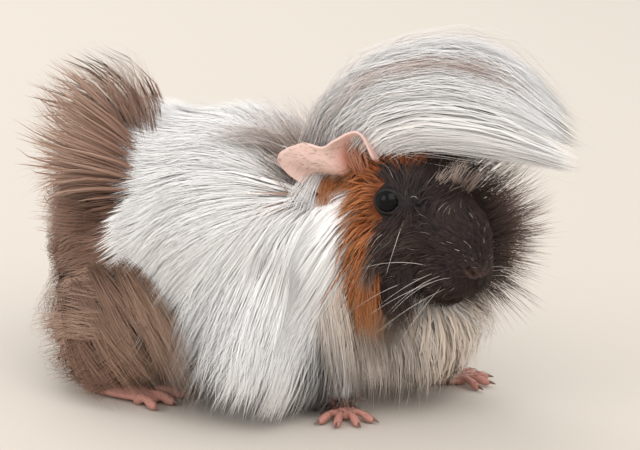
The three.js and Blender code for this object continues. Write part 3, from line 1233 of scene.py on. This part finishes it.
def saddle_density(points):
    crowd = 1 + 1.2 * near(points, PARTING, 16)
    return is_white(points) * (1 - belly(points)) * (1 - low_leg(points)) * (1 - breast(points)) * crowd


def saddle_lengths(points):
    z = points[:, 2]
    full = 64 - 20 * near(points, PARTING, 22) - 10 * smooth(34, 14, z)
    beyond_edge = np.interp(z, [36, 60, 76, 84], [28, 22, 16, 5])
    beyond_edge += 12 * (DICE.random(len(points)) < 0.07) * (z < 60)
    return np.clip(beyond_edge - 1.3 * behind_line(points), 6, full)


def sleek(points):
    """Hair that is combed straight, with hardly a stray."""
    return {"stray": 0.01}


# %% The saddle's two layers
SMOOTH = {"thin": 0.15, "roll": 0.12, "soft": 0.92}
SILK = {"pulls": (0.2, 0.15), "tones": (0.012, 0.015), "manner": sleek, **SMOOTH}
FLAT = {"locks": (40, 5), "pulls": (0.15, 0.1), "thin": 0.08, "roll": 0.05, "taper": 0.92, "soft": 0.95}
SADDLE = saddle_density, saddle_lie, saddle_lengths
SADDLE_TINTS = ("white", "taupe")
lay("coat_saddle_under", 3400, *SADDLE, spread_levels(0.62, 0.78), width=1.1, manner=sleek,
    allowed=SADDLE_TINTS, **FLAT)
lay("coat_saddle", 14700, *SADDLE, spread_levels(0.76), locks=(200, 14), parts=3,
    allowed=SADDLE_TINTS, **SILK)

# %% [markdown]
# ## The rump
# Behind the saddle the coat is brown and grows from a second whorl, which throws a fan of hair up at the
# back. Smaller whorls on the hips send wavy locks backwards and down over the hind feet.
# %% Brown coat of the rump
CREST = np.array([-17.0, 42.0, 95.0])


def rump_density(points):
    crowd = 1 + 1.3 * near(points, CREST, 18)
    brown = (1 - face_share(points)) * zones(points)["brown"]
    return brown * (1 - belly(points)) * (1 - low_leg(points)) * crowd


def fan(points):
    """1 where the hair stands up in a crest behind the saddle."""
    x, y, z = points.T
    return smooth(76, 88, z) * smooth(24, 32, y) * smooth(62, 50, y) * smooth(12, 2, x)


def rump_lengths(points):
    _, y, z = points.T
    return 40 + 12 * fan(points) - 6 * smooth(40, 15, z) - 8 * smooth(58, 78, y)


def rump_levels(points):
    cover = smooth(-2, 22, behind_line(points))
    return spread_levels(0.4)(points) * (0.4 + 0.6 * np.maximum(cover, fan(points))) + 0.1 * fan(points)


def rump_manner(points):
    high = fan(points)
    return {"stiff": 0.55 + 0.33 * high, "lift": 0.5 + 2.9 * high, "stray": 0.018}


def rump_under(points):
    return (0.62 + 0.2 * fan(points)) * rump_levels(points)


# %% The rump's two layers
RUMP = rump_density, rump_lie, rump_lengths
RUMP_LOOK = {"manner": rump_manner, "allowed": ("brown",)}
lay("coat_rump_under", 2900, *RUMP, rump_under, width=0.85, tones=(0.02, 0.03), **RUMP_LOOK,
    **{**FLAT, "soft": 0.9, "roll": 0.1})
lay("coat_rump", 8100, *RUMP, rump_levels, width=0.12, locks=(120, 12), pulls=(0.3, 0.22), tones=(0.04, 0.05),
    parts=2, thin=0.2, roll=0.2, soft=0.85, **RUMP_LOOK)

# %% Chest, throat, belly and legs
def chest_density(points):
    front = breast(points) * (1 - smooth(20, 12, points[:, 2]))
    legs = smooth(5.5, 8, points[:, 2]) * smooth(44, 30, points[:, 2]) * smooth(-30, -40, points[:, 1])
    rest = belly(points) * (0.4 + 0.8 * smooth(-20, -36, points[:, 1]))
    low = low_leg(points) * smooth(6.0, 8, points[:, 2])
    return (1 - face_share(points)) * np.clip(front + legs + rest + low, 0, 1.2)


def hem(points):
    """1 under the chest, where the hair hangs free between the forelegs."""
    return belly(points) * smooth(-22, -36, points[:, 1]) * smooth(13, 17, points[:, 2])


def chest_lengths(points):
    return 32 - 12 * smooth(24, 10, points[:, 2]) * (1 - belly(points)) - 16 * hem(points)


def chest_levels(points):
    return spread_levels(0.65)(points) + 2.6 * hem(points)


def creamed_and_shaded(points, colours):
    """The throat and breast are darker and warmer than the back: partly creamier hair and partly painted
    shade under the chin.
    """
    _, y, z = points.T
    # The factor darkens as well as warms: cream hair with painted shade under the chin.
    cream_and_shade = (smooth(-48, -64, y) * smooth(78, 62, z))[:, None, None]
    return colours * (1 - cream_and_shade * (1 - np.array([0.86, 0.74, 0.64])))


# %% The front's two layers
CHEST = chest_density, chest_lie, chest_lengths
# Both layers are tinted darker and warmer at the throat: creamier hair with painted shade under the chin.
lay("coat_chest_under", 1800, *CHEST, spread_levels(0.64, 0.78), width=1.1, tint=creamed_and_shaded, manner=sleek,
    **FLAT)
lay("coat_chest", 5000, *CHEST, chest_levels, locks=(60, 8), tint=creamed_and_shaded, **SILK)

# %% [markdown]
# ## The head
# Hair on the head is short at the nose and grows longer backwards: a dark mask, an orange band behind the
# right eye, and long brown whiskery cheeks. Pale hairs are mixed into the brow and the edge of the cheek.
# %% Hair of the head
def head_density(points):
    head = to_head(points)
    nose = groove(mirrored(head), [(0, -45, -6), (3.5, -44, -4)], 2.4, 1.0)
    front = 1 + 1.2 * smooth(-16, -34, head[:, 1])
    return face_share(points) * np.where(near_eye(head, 6.1), 0.0, 1.0) * np.clip(1 - nose, 0, 1) * front


# %% How long and how high the head's hair is
def head_lengths(points):
    head = to_head(points)
    x, y, z = head.T
    base = 2.6 + 6.4 * smooth(-44, -22, y)
    cheek = 11 * smooth(-26, -10, y) * smooth(10, -6, z)
    jaw = 17 * smooth(-24, -10, y) * smooth(-4, -18, z)
    band = 4 * smooth(-3, 4, y) * smooth(-4, -10, x)
    far = 20 * smooth(8, 14, x) * smooth(-36, -24, y) * smooth(16, 6, z)
    brow = 9 * smooth(9, 15, z) * smooth(-26, -16, y) * (1 + 0.6 * smooth(-2, 4, x))
    round_eye = near(mirrored(head), EYE_PLACE, 11, 4) * smooth(4, -2, x)
    cheek, jaw = (part * (0.15 + 0.85 * smooth(14, 3, y)) for part in (cheek, jaw))
    more = (cheek + jaw + band + far + brow) * (1 - 0.85 * round_eye)
    return np.maximum(base + more - 2.5 * round_eye, 2.2)


def brow_share(points):
    head = to_head(points)
    return smooth(10, 15, head[:, 2]) * smooth(-28, -18, head[:, 1]) * smooth(22, 12, head[:, 1])


def head_levels(points):
    return spread_levels(0.15, 1.05)(points) + 0.4 * brow_share(points)


def head_manner(points):
    return {"stray": 0.035, "lift": 0.6 + brow_share(points), "steps": 8}


# %% Pale hairs on the head
def head_tint(points, colours):
    """Pale hairs in the brow and along the cheek's edge, and lighter fluff on the left cheek."""
    x, y, z = to_head(points).T
    edge = smooth(-17, -12, y) * smooth(-3, -8, y) * smooth(4, -8, z) * smooth(0, -6, x)
    front = smooth(9, 14, z) * smooth(-26, -20, y) * smooth(-5, -10, y) * smooth(-5, 1, x)
    dark = zones(points)["dark"] > 0.4
    fluff = (smooth(12, 20, x) * smooth(14, 6, z) * dark)[:, None, None]
    colours = colours * (1 - 0.75 * fluff) + 0.75 * fluff * TABLE["brown"] * 0.6
    cheek = smooth(-30, -20, y) * smooth(2, -10, z)
    rows = dark & (DICE.random(len(points)) < 0.012 + 0.25 * front + 0.35 * edge + 0.08 * cheek)
    pale = TABLE["cream"] * DICE.uniform(0.25, 0.75, (len(points), 1, 1))
    return np.where(rows[:, None, None], 0.3 * colours + pale, colours)


def is_long(points):
    return head_lengths(points) > 9


def head_long(points):
    return head_density(points) * is_long(points)


def head_short(points):
    return head_density(points) * ~is_long(points)


# %% The head's three layers
HEAD_LOOK = {"manner": head_manner, "tint": head_tint, "blocked": FACE_KEEPS_FREE, "thin": 0.3, "roll": 0.35}
lay("coat_head_under", 1700, head_long, face_lie, head_lengths, spread_levels(0.2, 0.75), width=0.6,
    blocked=FACE_KEEPS_FREE, locks=(40, 5), pulls=(0.25, 0.15), thin=0.15, roll=0.25, taper=0.92)
lay("coat_head_long", 5700, head_long, face_lie, head_lengths, head_levels, locks=(40, 6), pulls=(0.25, 0.35),
    tones=(0.08, 0.1), soft=0.65, **HEAD_LOOK)
lay("coat_head_short", 6850, head_short, face_lie, head_lengths, head_levels, points=4, width=0.13,
    locks=(24, 5), pulls=(0.3, 0.4), tones=(0.1, 0.1), soft=0.6, **HEAD_LOOK)

# %% The ruff of the left cheek
def ruff_density(points):
    x, y, z = to_head(points).T
    spread = smooth(7, 12, x) * smooth(-38, -30, y) * smooth(6, -6, y) * smooth(-24, -18, z)
    return face_share(points) * spread * np.where(near_eye(to_head(points), 9.0), 0.0, 1.0)


def ruff(count, width):
    """Long fluff that stands out round the left cheek like a ruff, out of the way of the eye."""
    roots = sample_skin(count, on_flesh(ruff_density))
    head = to_head(roots)
    way = unit((head - (3, 0, -3)) * (1.3, 0, 1) + (8, -7, 0) + DICE.normal(size=(count, 3)) * (2.5, 3, 2.5))
    long = 15 + 26 * DICE.uniform(0, 1, (count, 1, 1)) ** 1.3
    strands, lock = gathered(from_head(bowed(head, way, long, (0, 0.25, -0.12))), 40, 0.16)
    colours = shaded(dyed("ruff", count), lock, 0.1, 0.1)
    build_free("coat_ruff", strands, width, colours, roots=roots, thin=0.25, soft=0.8)


ruff(2600, 0.12)

# %% [markdown]
# ## The forelock
# From the parting the hair of the crown is blown forward over the face in one great arch. It is combed
# through five sections, each with a middle and a reach, so that every strand runs smoothly from the crown
# to the tip.
# %% The arch over the face
ARCH = [
    ((-9, -46, 94), (10, 0, 0), (-3, 24, -7)),
    ((-7, -58, 119), (22, 3, 0), (-3, 15, 16)),
    ((0, -83, 128.5), (26, 3, 0), (0, 2, 23)),
    ((7, -112, 124), (24, 5, 0), (0, 1, 21)),
    ((12, -139, 109), (15, 4, 0), (0, 3, 10)),
]


# %% Strands through sections
def bundle(sections, aside, above, points=17):
    """Strands through sections. aside and above are each strand's place in all of them, 0 in the middle."""
    middle, across, up = (np.array([s[k] for s in sections], float) for k in range(3))
    line = middle[:, None] + aside[None, :, None] * across[:, None] + above[None, :, None] * up[:, None]
    return np.swapaxes(through(line, np.linspace(0, 1, points)), 0, 1)


def part_of(strands, start, end, points):
    """The part of each strand between two shares of it."""
    last = strands.shape[1] - 1
    rows = np.arange(len(strands))
    made = []
    for share in np.linspace(0, 1, points):
        where = (start + (end - start) * share) * last
        low = np.clip(where.astype(int), 0, last - 1)
        mix = (where - low)[:, None]
        made.append(strands[rows, low] * (1 - mix) + strands[rows, low + 1] * mix)
    return np.stack(made, axis=1)


# %% The forelock's three layers
def forelock(name, count, width, points=6, size=1.0, ragged=1.6, shade=0.0, pull=0.2, **build):
    """Hair combed through the arch. shade is how taupe it is, ragged how far its tips stray in mm."""
    angle = DICE.uniform(0, 2 * math.pi, count)
    reach = size * DICE.uniform(0, 1, count) ** 0.12
    aside, above = reach * np.cos(angle), reach * np.sin(angle)
    strands = bundle(ARCH, aside, above)
    roots = onto_skin(strands[:, 0])
    strands[:, 0] = roots
    end = DICE.uniform(0.5, 1.0, count) ** 0.6
    start = np.clip(DICE.uniform(-0.5, 0.22, count), 0, 1)
    strands = part_of(strands, start, end, points)
    middle = part_of(bundle(ARCH, 0 * aside, 0 * above - 0.6), start, end, points)
    under, outward = slope(head_coat_distance, strands.reshape(-1, 3))
    push = np.clip(1.0 - under, 0, 12) * np.tile(np.linspace(0, 1, points) > 0.3, count)
    strands = strands + (outward * push[:, None]).reshape(strands.shape)
    strands += shares_of(points) ** 1.5 * DICE.normal(size=(count, 1, 3)) * ragged
    strands, lock = gathered(strands, 140, pull)
    strands, _ = gathered(strands, 10, 1.3 * pull)
    colours = dyed("white", count) * (1 - shade) + dyed("taupe", count) * shade
    streaked = ((np.abs(above - 0.68) < 0.13) & (aside < 0.2) & (end > 0.68) & (end < 0.88))[:, None]
    colours[:, 2] = np.where(streaked, linear(142, 112, 101), colours[:, 2])
    colours[:, 1] = np.where(streaked, linear(204, 186, 177), colours[:, 1])
    colours = shaded(colours, lock, 0.02, 0.02)
    build_free(name, strands, width, colours, roots=roots, away=unit(strands - middle), **build)


forelock("coat_forelock_under", 1900, 1.2, points=5, size=0.93, ragged=1.0, thin=0.05, roll=0.03,
         taper=0.9, soft=0.97)
forelock("coat_forelock", 4300, 0.14, pull=0.15, **SMOOTH)
forelock("coat_forelock_loose", 420, 0.1, size=1.16, ragged=4.0, shade=0.4, pull=0.1)

# %% [markdown]
# ## The parting
# Where the forelock turns forward and the saddle backward, loose hair stands up in a thin fan, taupe at
# its roots.
# %% Loose hair at the parting
def parting_wisps(count, width):
    swing = DICE.normal(-0.28, 0.36, count)
    tilt = DICE.normal(0, 0.3, count)
    roots = np.stack([DICE.normal(-11, 6, count), DICE.normal(-37, 7, count), np.full(count, 88.0)], axis=1)
    roots = onto_skin(roots)
    way = unit(np.stack([tilt, -np.sin(swing), np.cos(swing)], axis=1))
    long = DICE.uniform(24, 48, count)[:, None, None]
    bend = 0.3 * (unit(way * (1, 1, 0)) * (1, 1, 0) + (0, 0, -0.35))
    strands, lock = gathered(bowed(roots, way, long, bend[:, None]), 30, 0.3)
    build_free("coat_parting", strands, width, shaded(dyed("taupe", count), lock, 0.08, 0.08), thin=0.3)


parting_wisps(1000, 0.15)

# %% [markdown]
# ## Single locks
# Some locks stand apart from the coat: the taupe one that runs back from the parting, those of the cheek
# and brow, the wide ones that hang over flank and breast, the tufts at the ear, the crest's fan and the
# wavy ones of the hip. Each is combed through sections of its own, like the forelock: rows of x, y, z and
# radius in millimetres.
# %% Locks given one by one
LOCKS = []


def lone_lock(sections, count, wave, dye, ragged=1.2, across=((0, 1, 0), (0.3, 0, 1))):
    """One lock. wave is the height of its wave and ragged how far its tips stray, both in mm."""
    angle = DICE.uniform(0, 2 * math.pi, count)
    reach = np.sqrt(DICE.uniform(0, 1, count))
    rows = [(middle, *(radius * np.array(axis) for axis in across)) for *middle, radius in sections]
    strands = bundle(rows, reach * np.cos(angle), reach * np.sin(angle))
    start, end = np.clip(DICE.uniform(-0.4, 0.25, count), 0, 1), DICE.uniform(0.6, 1.0, count)
    strands = part_of(strands, start, end, 6)
    share = shares_of(6)
    swing = np.sin(share * 8 + DICE.uniform(0, 6, (count, 1, 1)) * 0.25)
    strands += swing * share * wave * np.array([0.3, 0.2, 1.0])
    strands += share**1.5 * DICE.normal(size=(count, 1, 3)) * ragged
    LOCKS.append((strands, shaded(dyed(dye, count), np.zeros(count, int), 0.07, 0.0)))


def head_locks(rows):
    """Locks that are given in the head's frame, as rows of colour, count, wave, raggedness and sections."""
    for dye, count, wave, ragged, sections in rows:
        lone_lock([(*from_head(middle), radius) for *middle, radius in sections], count, wave, dye, ragged)


def with_radii(course, radii):
    return [(*middle, radius) for middle, radius in zip(course, radii)]


# %% Courses of the locks on parting, head and ear
STREAK_COURSE = [(-11, -40, 94, 3), (-13, -27, 104, 3), (-25, -6, 110.5, 4), (-32, 14, 106, 6)]
HEAD_LOCKS = [
    ("dark", 190, 0.8, 1.2, [(-20, -13, -12, 3), (-25, -19, -20, 4), (-23, -25, -28, 4), (-19, -31, -35, 2)]),
    ("dark", 210, 0.8, 1.8, [(-18, -20, -8, 3), (-22.5, -26, -17, 5), (-22, -30, -26, 5),
                             (-18, -33, -36, 3)]),
    ("grizzled", 70, 1, 1.2, [(-23, -9, -4, 3), (-29, -13, -14, 3), (-28, -17, -28, 3), (-23, -22, -40, 2)]),
    ("fox", 250, 1, 2.2, [(-23, -8, -10, 4), (-29, -15, -23, 5), (-28.5, -20, -35, 5), (-23, -23, -46, 3)]),
    ("misty", 55, 0.8, 1.2, [(1, -15, 15, 2), (2.5, -16, 20, 3), (4, -16.5, 25, 3.5), (8, -17.5, 29, 3)]),
    ("misty", 50, 0.8, 1.2, [(5, -19, 15, 2), (6, -20, 20, 3), (9, -21.5, 25, 3.5), (13, -23, 29, 3)]),
    ("misty", 35, 0.8, 1.2, [(-5, -11, 14, 2), (-4, -13, 18, 2.5), (-1, -14, 22, 3), (3, -15, 26, 2)]),
    ("fox", 330, 1, 2.0, [(-22, -2, -14, 5), (-28, -8, -24, 6), (-28, -12, -36, 6), (-24, -15, -48, 4)]),
    ("sandy", 260, 1, 2.4, [(-24, 6, -12, 5), (-31, 0, -24, 6), (-32, -3, -38, 6), (-29, -5, -50, 4)]),
]
EAR_LOCKS = [
    ("white", 85, 0.6, 1.6, [(-25, 32, 5, 2.5), (-31, 31, 0, 4), (-37, 28, -9, 6), (-41, 24, -22, 6)]),
    ("rosy", 85, 0.6, 1.6, [(-19, 12, 13, 3), (-20.5, 15, 19, 4), (-21.5, 17.5, 24, 4),
                            (-22.5, 20, 28.5, 2.5)]),
    ("rosy", 85, 0.6, 1.6, [(-20, 15, 13, 3), (-21.5, 18, 18, 4), (-23, 20.5, 22, 4), (-24, 23, 25, 2.5)]),
    ("fox", 85, 0.6, 1.6, [(-22, 26, 6, 3), (-27, 24, 2, 3.5), (-30, 20, -5, 4), (-29, 16, -13, 3)]),
]

# %% Courses of the wide locks on flank and breast
FLANK_LOCKS = [
    [(-30, -12, 90, 5), (-43, 6, 82, 8), (-49, 22, 68, 8), (-49, 34, 54, 6)],
    [(-34, -16, 84, 5), (-50, -4, 70, 8), (-56, 8, 54, 8), (-55, 16, 40, 6)],
    [(-36, -22, 80, 5), (-53, -14, 64, 8), (-62, -6, 48, 8), (-66, -1, 30, 6)],
    [(-42, -10, 68, 5), (-53, -7, 54, 8), (-62, -4, 42, 8), (-67, 0, 26, 6)],
    [(-44, -22, 69, 5), (-57, -20, 52, 9), (-68, -18, 38, 9), (-75, -17, 16, 7)],
    [(-46, -35, 67, 5), (-60, -34, 50, 9), (-71, -33, 34, 9), (-76, -33, 10, 7)],
]
BREAST_LOCKS = [
    [(-24, -71, 42, 5), (-26, -76, 31, 7), (-25, -76, 19, 7), (-23, -75, 7, 5)],
    [(-20, -80, 40, 5), (-21, -85, 30, 7), (-20, -86, 19, 7), (-18, -85, 8, 5)],
    [(-26, -62, 40, 5), (-30, -67, 30, 6), (-29, -68, 19, 6), (-28, -67, 7, 5)],
    [(-36, -50, 58, 5), (-42, -56, 43, 7), (-43, -59, 26, 7), (-41, -62, 9, 5)],
    [(-26, -52, 50, 5), (-30, -58, 36, 7), (-29, -60, 22, 7), (-27, -61, 8, 5)],
]

# %% Courses of the locks on crest and hip, and on the brown coat's front edge
CREST_COURSES = [
    [(-17, 40, 96), (-18, 43, 112), (-18, 49, 126), (-18, 51, 138)],
    [(-18, 42, 95), (-19, 48, 110), (-19, 56, 124), (-19, 62, 135)],
    [(-19, 44, 93), (-20, 52, 107), (-20, 63, 118), (-20, 71, 127)],
    [(-21, 46, 90), (-23, 57, 100), (-23, 70, 109), (-22, 79, 116)],
    [(-24, 48, 86), (-27, 60, 93), (-27, 74, 98), (-24, 84, 101)],
    [(-28, 49, 80), (-32, 61, 84), (-32, 75, 86), (-28, 85, 86)],
    [(-33, 50, 72), (-38, 61, 74), (-38, 74, 74), (-32, 84, 71)],
]
HIP_COURSES = [
    [(-46, 27, 42), (-52, 40, 43), (-55, 56, 41), (-51, 76, 38)],
    [(-48, 27, 38), (-56, 40, 37), (-59, 56, 35), (-54, 72, 30)],
    [(-50, 26, 32), (-58, 39, 32), (-60, 53, 31), (-56, 66, 24)],
    [(-45, 32, 50), (-50, 45, 47), (-49, 58, 46), (-46, 70, 40)],
    [(-46, 38, 58), (-48, 46, 54), (-48, 56, 49), (-46, 66, 42)],
    [(-47, 25, 40), (-50, 22, 25), (-46, 15, 12), (-48, 4, 3)],
    [(-45, 20, 36), (-50, 17, 24), (-51, 9, 14), (-53, 0, 4)],
    [(-44, 12, 34), (-50, 9, 22), (-56, 1, 12), (-57, -6, 3)],
]
EDGE_COURSES = [
    (210, "pale_brown", [(-44, 44, 60), (-50, 31, 53), (-62, 13, 40), (-73, -7, 18)]),
    (200, "brown", [(-45, 34, 52), (-52, 22, 43), (-63, 6, 29), (-70, -6, 10)]),
    (150, "brown", [(-46, 24, 42), (-51, 15, 30), (-60, 4, 16), (-64, -2, 3)]),
    (110, "pale_brown", [(-50, 48, 55), (-56, 35, 43), (-58, 23, 28), (-62, 5, 7)]),
    (100, "pale_brown", [(-52, 56, 48), (-60, 37, 29), (-62, 23, 15), (-60, 13, 4)]),
    (100, "brown", [(-52, 60, 41), (-60, 50, 24), (-62, 38, 11), (-60, 32, 4)]),
]

# %% Combing them all
lone_lock(STREAK_COURSE, 230, 0.6, "streak")
head_locks(HEAD_LOCKS)
for sections in FLANK_LOCKS:
    lone_lock(sections, 185, 0.5, "white", 1.4)
# The breast's locks are darker and warmer: painted shade under the chest on creamier hair.
for sections in BREAST_LOCKS:
    lone_lock(sections, 150, 0.5, "shaded_cream_white", 1.6)
head_locks(EAR_LOCKS)
for course in CREST_COURSES:
    way = unit(np.array(course[-1], float) - course[0])
    spread = ((1, 0, 0), np.cross((1, 0, 0), way))
    lone_lock(with_radii(course, (6, 9, 9, 6)), 190, 0.5, "brown", 1.8, spread)
for course in HIP_COURSES:
    radii = DICE.uniform(0.8, 1.2) * np.array([2.6, 3.6, 3.8, 2.2])
    lone_lock(with_radii(course, radii), 66, DICE.uniform(1.6, 2.8), "pale_brown")
for count, dye, course in EDGE_COURSES:
    lone_lock(with_radii(course, (3, 6, 8, 6)), count, 1.2, dye, 2.4)
strands, colours = (np.concatenate(parts) for parts in zip(*LOCKS))
build_coat("coat_locks", strands, 0.13, colours, thin=0.25, soft=0.85)

# %% [markdown]
# ## Whiskers and fine fur
# Whiskers are long stiff hairs, pale against the dark mask, that leave the upper lip in rows and sag a
# little. They are the same tapered rods, in more steps. The feet and the ears have a thin down.
# %% Whiskers
def whisker_rows(side, rows=2, columns=4):
    """Root, way, length and sag of the whiskers on one side of the muzzle."""
    made = []
    for row in range(rows):
        for column in range(columns):
            root = (side * (8.8 + 0.8 * column - 0.3 * row), -39 + 3.0 * column, -8.0 - 4.0 * row)
            way = np.array([side * (0.9 + 0.15 * column), -0.3 + 0.3 * column, 0.1 - 0.5 * row])
            way += DICE.normal(0, 0.22, 3)
            made.append((root, way, DICE.uniform(16, 38), DICE.uniform(0.1, 0.5)))
    return made


BROW_WHISKERS = [((17, -14, 6), (0.6, -0.5, -0.5), 24), ((14, -16, 15), (0.7, -0.5, 0.6), 18)]
CHIN_WHISKERS = [((-15, -12, -22), -0.35, 42), ((-17, -8, -20), -0.2, 44), ((-13, -14, -22), -0.05, 46),
                 ((-12, -17, -22), 0.15, 36), ((-15, -6, -22), -0.45, 38)]
whiskers = whisker_rows(-1) + whisker_rows(1)
for fold in ((-1, 1, 1), (1, 1, 1)):
    for root, way, long in BROW_WHISKERS:
        whiskers.append((np.multiply(root, fold), np.multiply(way, fold), long, 0.15))
whiskers += [(root, (aside, -0.1, -1.0), long, 0.1) for root, aside, long in CHIN_WHISKERS]
roots, ways, long, sag = (np.array(column, float) for column in zip(*whiskers))
sag = sag[:, None, None] * (0, 0, -1)
strands = bowed(from_head(roots), unit(unit(ways) @ HEAD_AXES.T), long[:, None, None], sag, 9)
strands[..., 2] = np.maximum(strands[..., 2], 1.0)
build_coat("coat_whiskers", strands, 0.1, dyed("whisker", len(strands)), thin=0.8, roll=0, taper=0.7)

# %% Down on ears and feet
def ear_down(count):
    """Fine hair at the root and on the back lobe of each ear."""
    made, tints = [], []
    for side in (-1, 1):
        sheet, share = ear_sheet(side)
        normal = unit(np.cross(np.gradient(sheet, axis=0), np.gradient(sheet, axis=1)))
        normal *= np.sign(np.sum(normal * EAR_FACING * (-side, 1, 1), axis=2, keepdims=True))
        across = unit(np.gradient(sheet, axis=1))
        along = unit(np.gradient(sheet, axis=0))
        u = np.linspace(0, 1, len(sheet))[:, None] * np.ones(sheet.shape[1])
        lobe = 0.5 * hump(u, 0.62, 0.1) * smooth(0.3, 0.5, share)
        want = (0.8 * smooth(0.45, 0.05, share) + lobe + 0.06).ravel()
        rows = DICE.choice(want.size, count, p=want / want.sum())
        root, normal, across, along = (part.reshape(-1, 3)[rows] for part in (sheet, normal, across, along))
        share, u = share.ravel()[rows], u.ravel()[rows]
        way = across * 0.8 + 0.45 * normal + 0.4 * along
        way = unit(way + DICE.normal(0, 0.25, (count, 3)))
        long = (DICE.uniform(2.0, 4.5, count) + 5 * smooth(0.3, 0.0, share))[:, None, None]
        made.append(from_head(bowed(root + normal * 0.6, way, long, (0, 0.1, -0.25), 4)))
        orange = (smooth(0.35, 0.1, share) * (u < 0.62) * (side < 0))[:, None, None]
        tints.append(orange * TABLE["orange"] + (1 - orange) * TABLE["cream"])
    return np.concatenate(made), np.concatenate(tints)


strands, colours = ear_down(500)
build_coat("coat_ear_down", strands, 0.1, colours)


# %% Down on the feet
def foot_density(points):
    return (points[:, 2] > 2.5) * (points[:, 2] < 8.5) * (0.25 + smooth(4, 7, points[:, 2]))


roots = sample_skin(1200, foot_density)
long = (DICE.uniform(2.0, 4.0, len(roots)) * (0.7 + 0.8 * smooth(4, 8, roots[:, 2])))[:, None, None]
way = unit(roots - (0, 0, 6)) * (0.5, 0.5, 0) + (0, -0.75, 0.12)
build_coat("coat_foot_down", bowed(roots, way, long, (0, 0, -0.25), 4), 0.09, dyed("cream", len(roots)))

# %% Skin's colours, with painted shade in the ear's hollow
head = to_head(places)
half = mirrored(head)
colours = coat_colours(places)[:, 0] * 0.5 + coat_colours(places)[:, 1] * 0.5
on_ear = smooth(0.4, 1.0, skin_distance(places)) * smooth(4, 7, head[:, 1]) * smooth(60, 70, places[:, 2])
# The ear's hollow is darker and redder: partly the pinker skin inside the ear and partly painted shade in its
# cup.
ear_cup_pink_and_shade = on_ear * groove(half, [(19, 13, 16), (22, 18, 20), (21, 22, 14)], 5.0, 1.0)
BARE_PLACES = [
    ("foot", smooth(10, 7.5, places[:, 2]), (186, 132, 120)),
    ("ear", on_ear, (228, 196, 186)),
    ("ear's hollow, pink with painted shade", ear_cup_pink_and_shade, (206, 128, 108)),
    ("lid", near_eye(head, 7.0) * 1.0, (24, 18, 17)),
    ("nose", np.clip(groove(half, [(0, -45, -6), (4, -44, -4)], 2.8, 1.2), 0, 1), (68, 46, 42)),
]
for _, mask, colour in BARE_PLACES:
    colours = colours * (1 - mask[:, None]) + linear(*colour) * mask[:, None]
layer = skin.data.color_attributes.new("coat", "FLOAT_COLOR", "POINT")
fill(layer.data, "color", np.column_stack([colours, np.ones(len(places))]))
PORE_DEPTH = 0.4
flesh = Finish("flesh", Roughness=0.5, Specular_IOR_Level=0.3)
pores = PORE_DEPTH * (flesh.noise(900.0) - 0.5)
flesh.surface_takes(Base_Color=flesh.paint("coat"), Normal=flesh.bump(pores, 0.25))
skin.data.materials.clear()
skin.data.materials.append(flesh.material)
fill(skin.data.polygons, "material_index", np.zeros(len(skin.data.polygons)), np.int32)
shade_smooth(skin.data)
set_corners(skin.data, to_model(places))
for name, mask, _ in BARE_PLACES:
    print("bare skin of the", name + ":", int((mask > 0.5).sum()), "vertices")

# %% [markdown]
# ## Claws and eyes
# A claw is horn: half clear, brownish and a little glossy. The eye of a guinea pig is almost all iris and
# pupil, black to look at, under a clear wet cornea, so one glossy black ball with a clear coat shows it.
# %% Claws, eyes and the floor
claw_look = Finish("claw", Base_Color=(*linear(112, 84, 74), 1.0), Roughness=0.35, Coat_Weight=0.3)
claws.data.materials.append(claw_look.material)
set_corners(claws.data, to_model(corners_of(claws.data)))
eye_look = Finish("eye", Base_Color=(*linear(4, 4, 6), 1.0), Roughness=0.25, Specular_IOR_Level=0.05,
                  Coat_Weight=0.22, Coat_Roughness=0.03)
eyes = []
for side, name in ((-1, "eye_right"), (1, "eye_left")):
    gather = bmesh.new()
    bmesh.ops.create_uvsphere(gather, u_segments=64, v_segments=48, radius=EYE_SIZE)
    ball = linked(f"{name}_ball", mesh_of(f"{name}_ball", gather))
    shade_smooth(ball.data)
    set_corners(ball.data, to_model(corners_of(ball.data) + from_head(EYE_PLACE * (side, 1, 1))))
    ball.data.materials.append(eye_look.material)
    eyes.append((ball, name))
print("eyes and claws:", [len(obj.data.vertices) for obj in (eyes[0][0], eyes[1][0], claws)], "vertices")
paper = Finish("floor", Base_Color=(*linear(204, 196, 186), 1.0), Roughness=0.9)
floor = mesh_object("floor", [(-6, -6, 0), (6, -6, 0), (6, 6, 0), (-6, 6, 0)], [(0, 1, 2, 3)], paper.material)

# %% Everything rides on the animal
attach(skin, "root")
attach(claws, "root")
for ball, name in eyes:
    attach(ball, "root")
    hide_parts(name)
for piece in PIECES:
    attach(piece, "root")
FLESH = ["head", "muzzle", "neck", "trunk", "rump", "ear_right", "ear_left"]
for end in ("right", "left"):
    FLESH += [f"foreleg_{end}", f"hindleg_{end}", f"forefoot_{end}", f"hindfoot_{end}"]
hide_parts(*FLESH)
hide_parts("forelock")
print("pieces of coat:", len(PIECES))
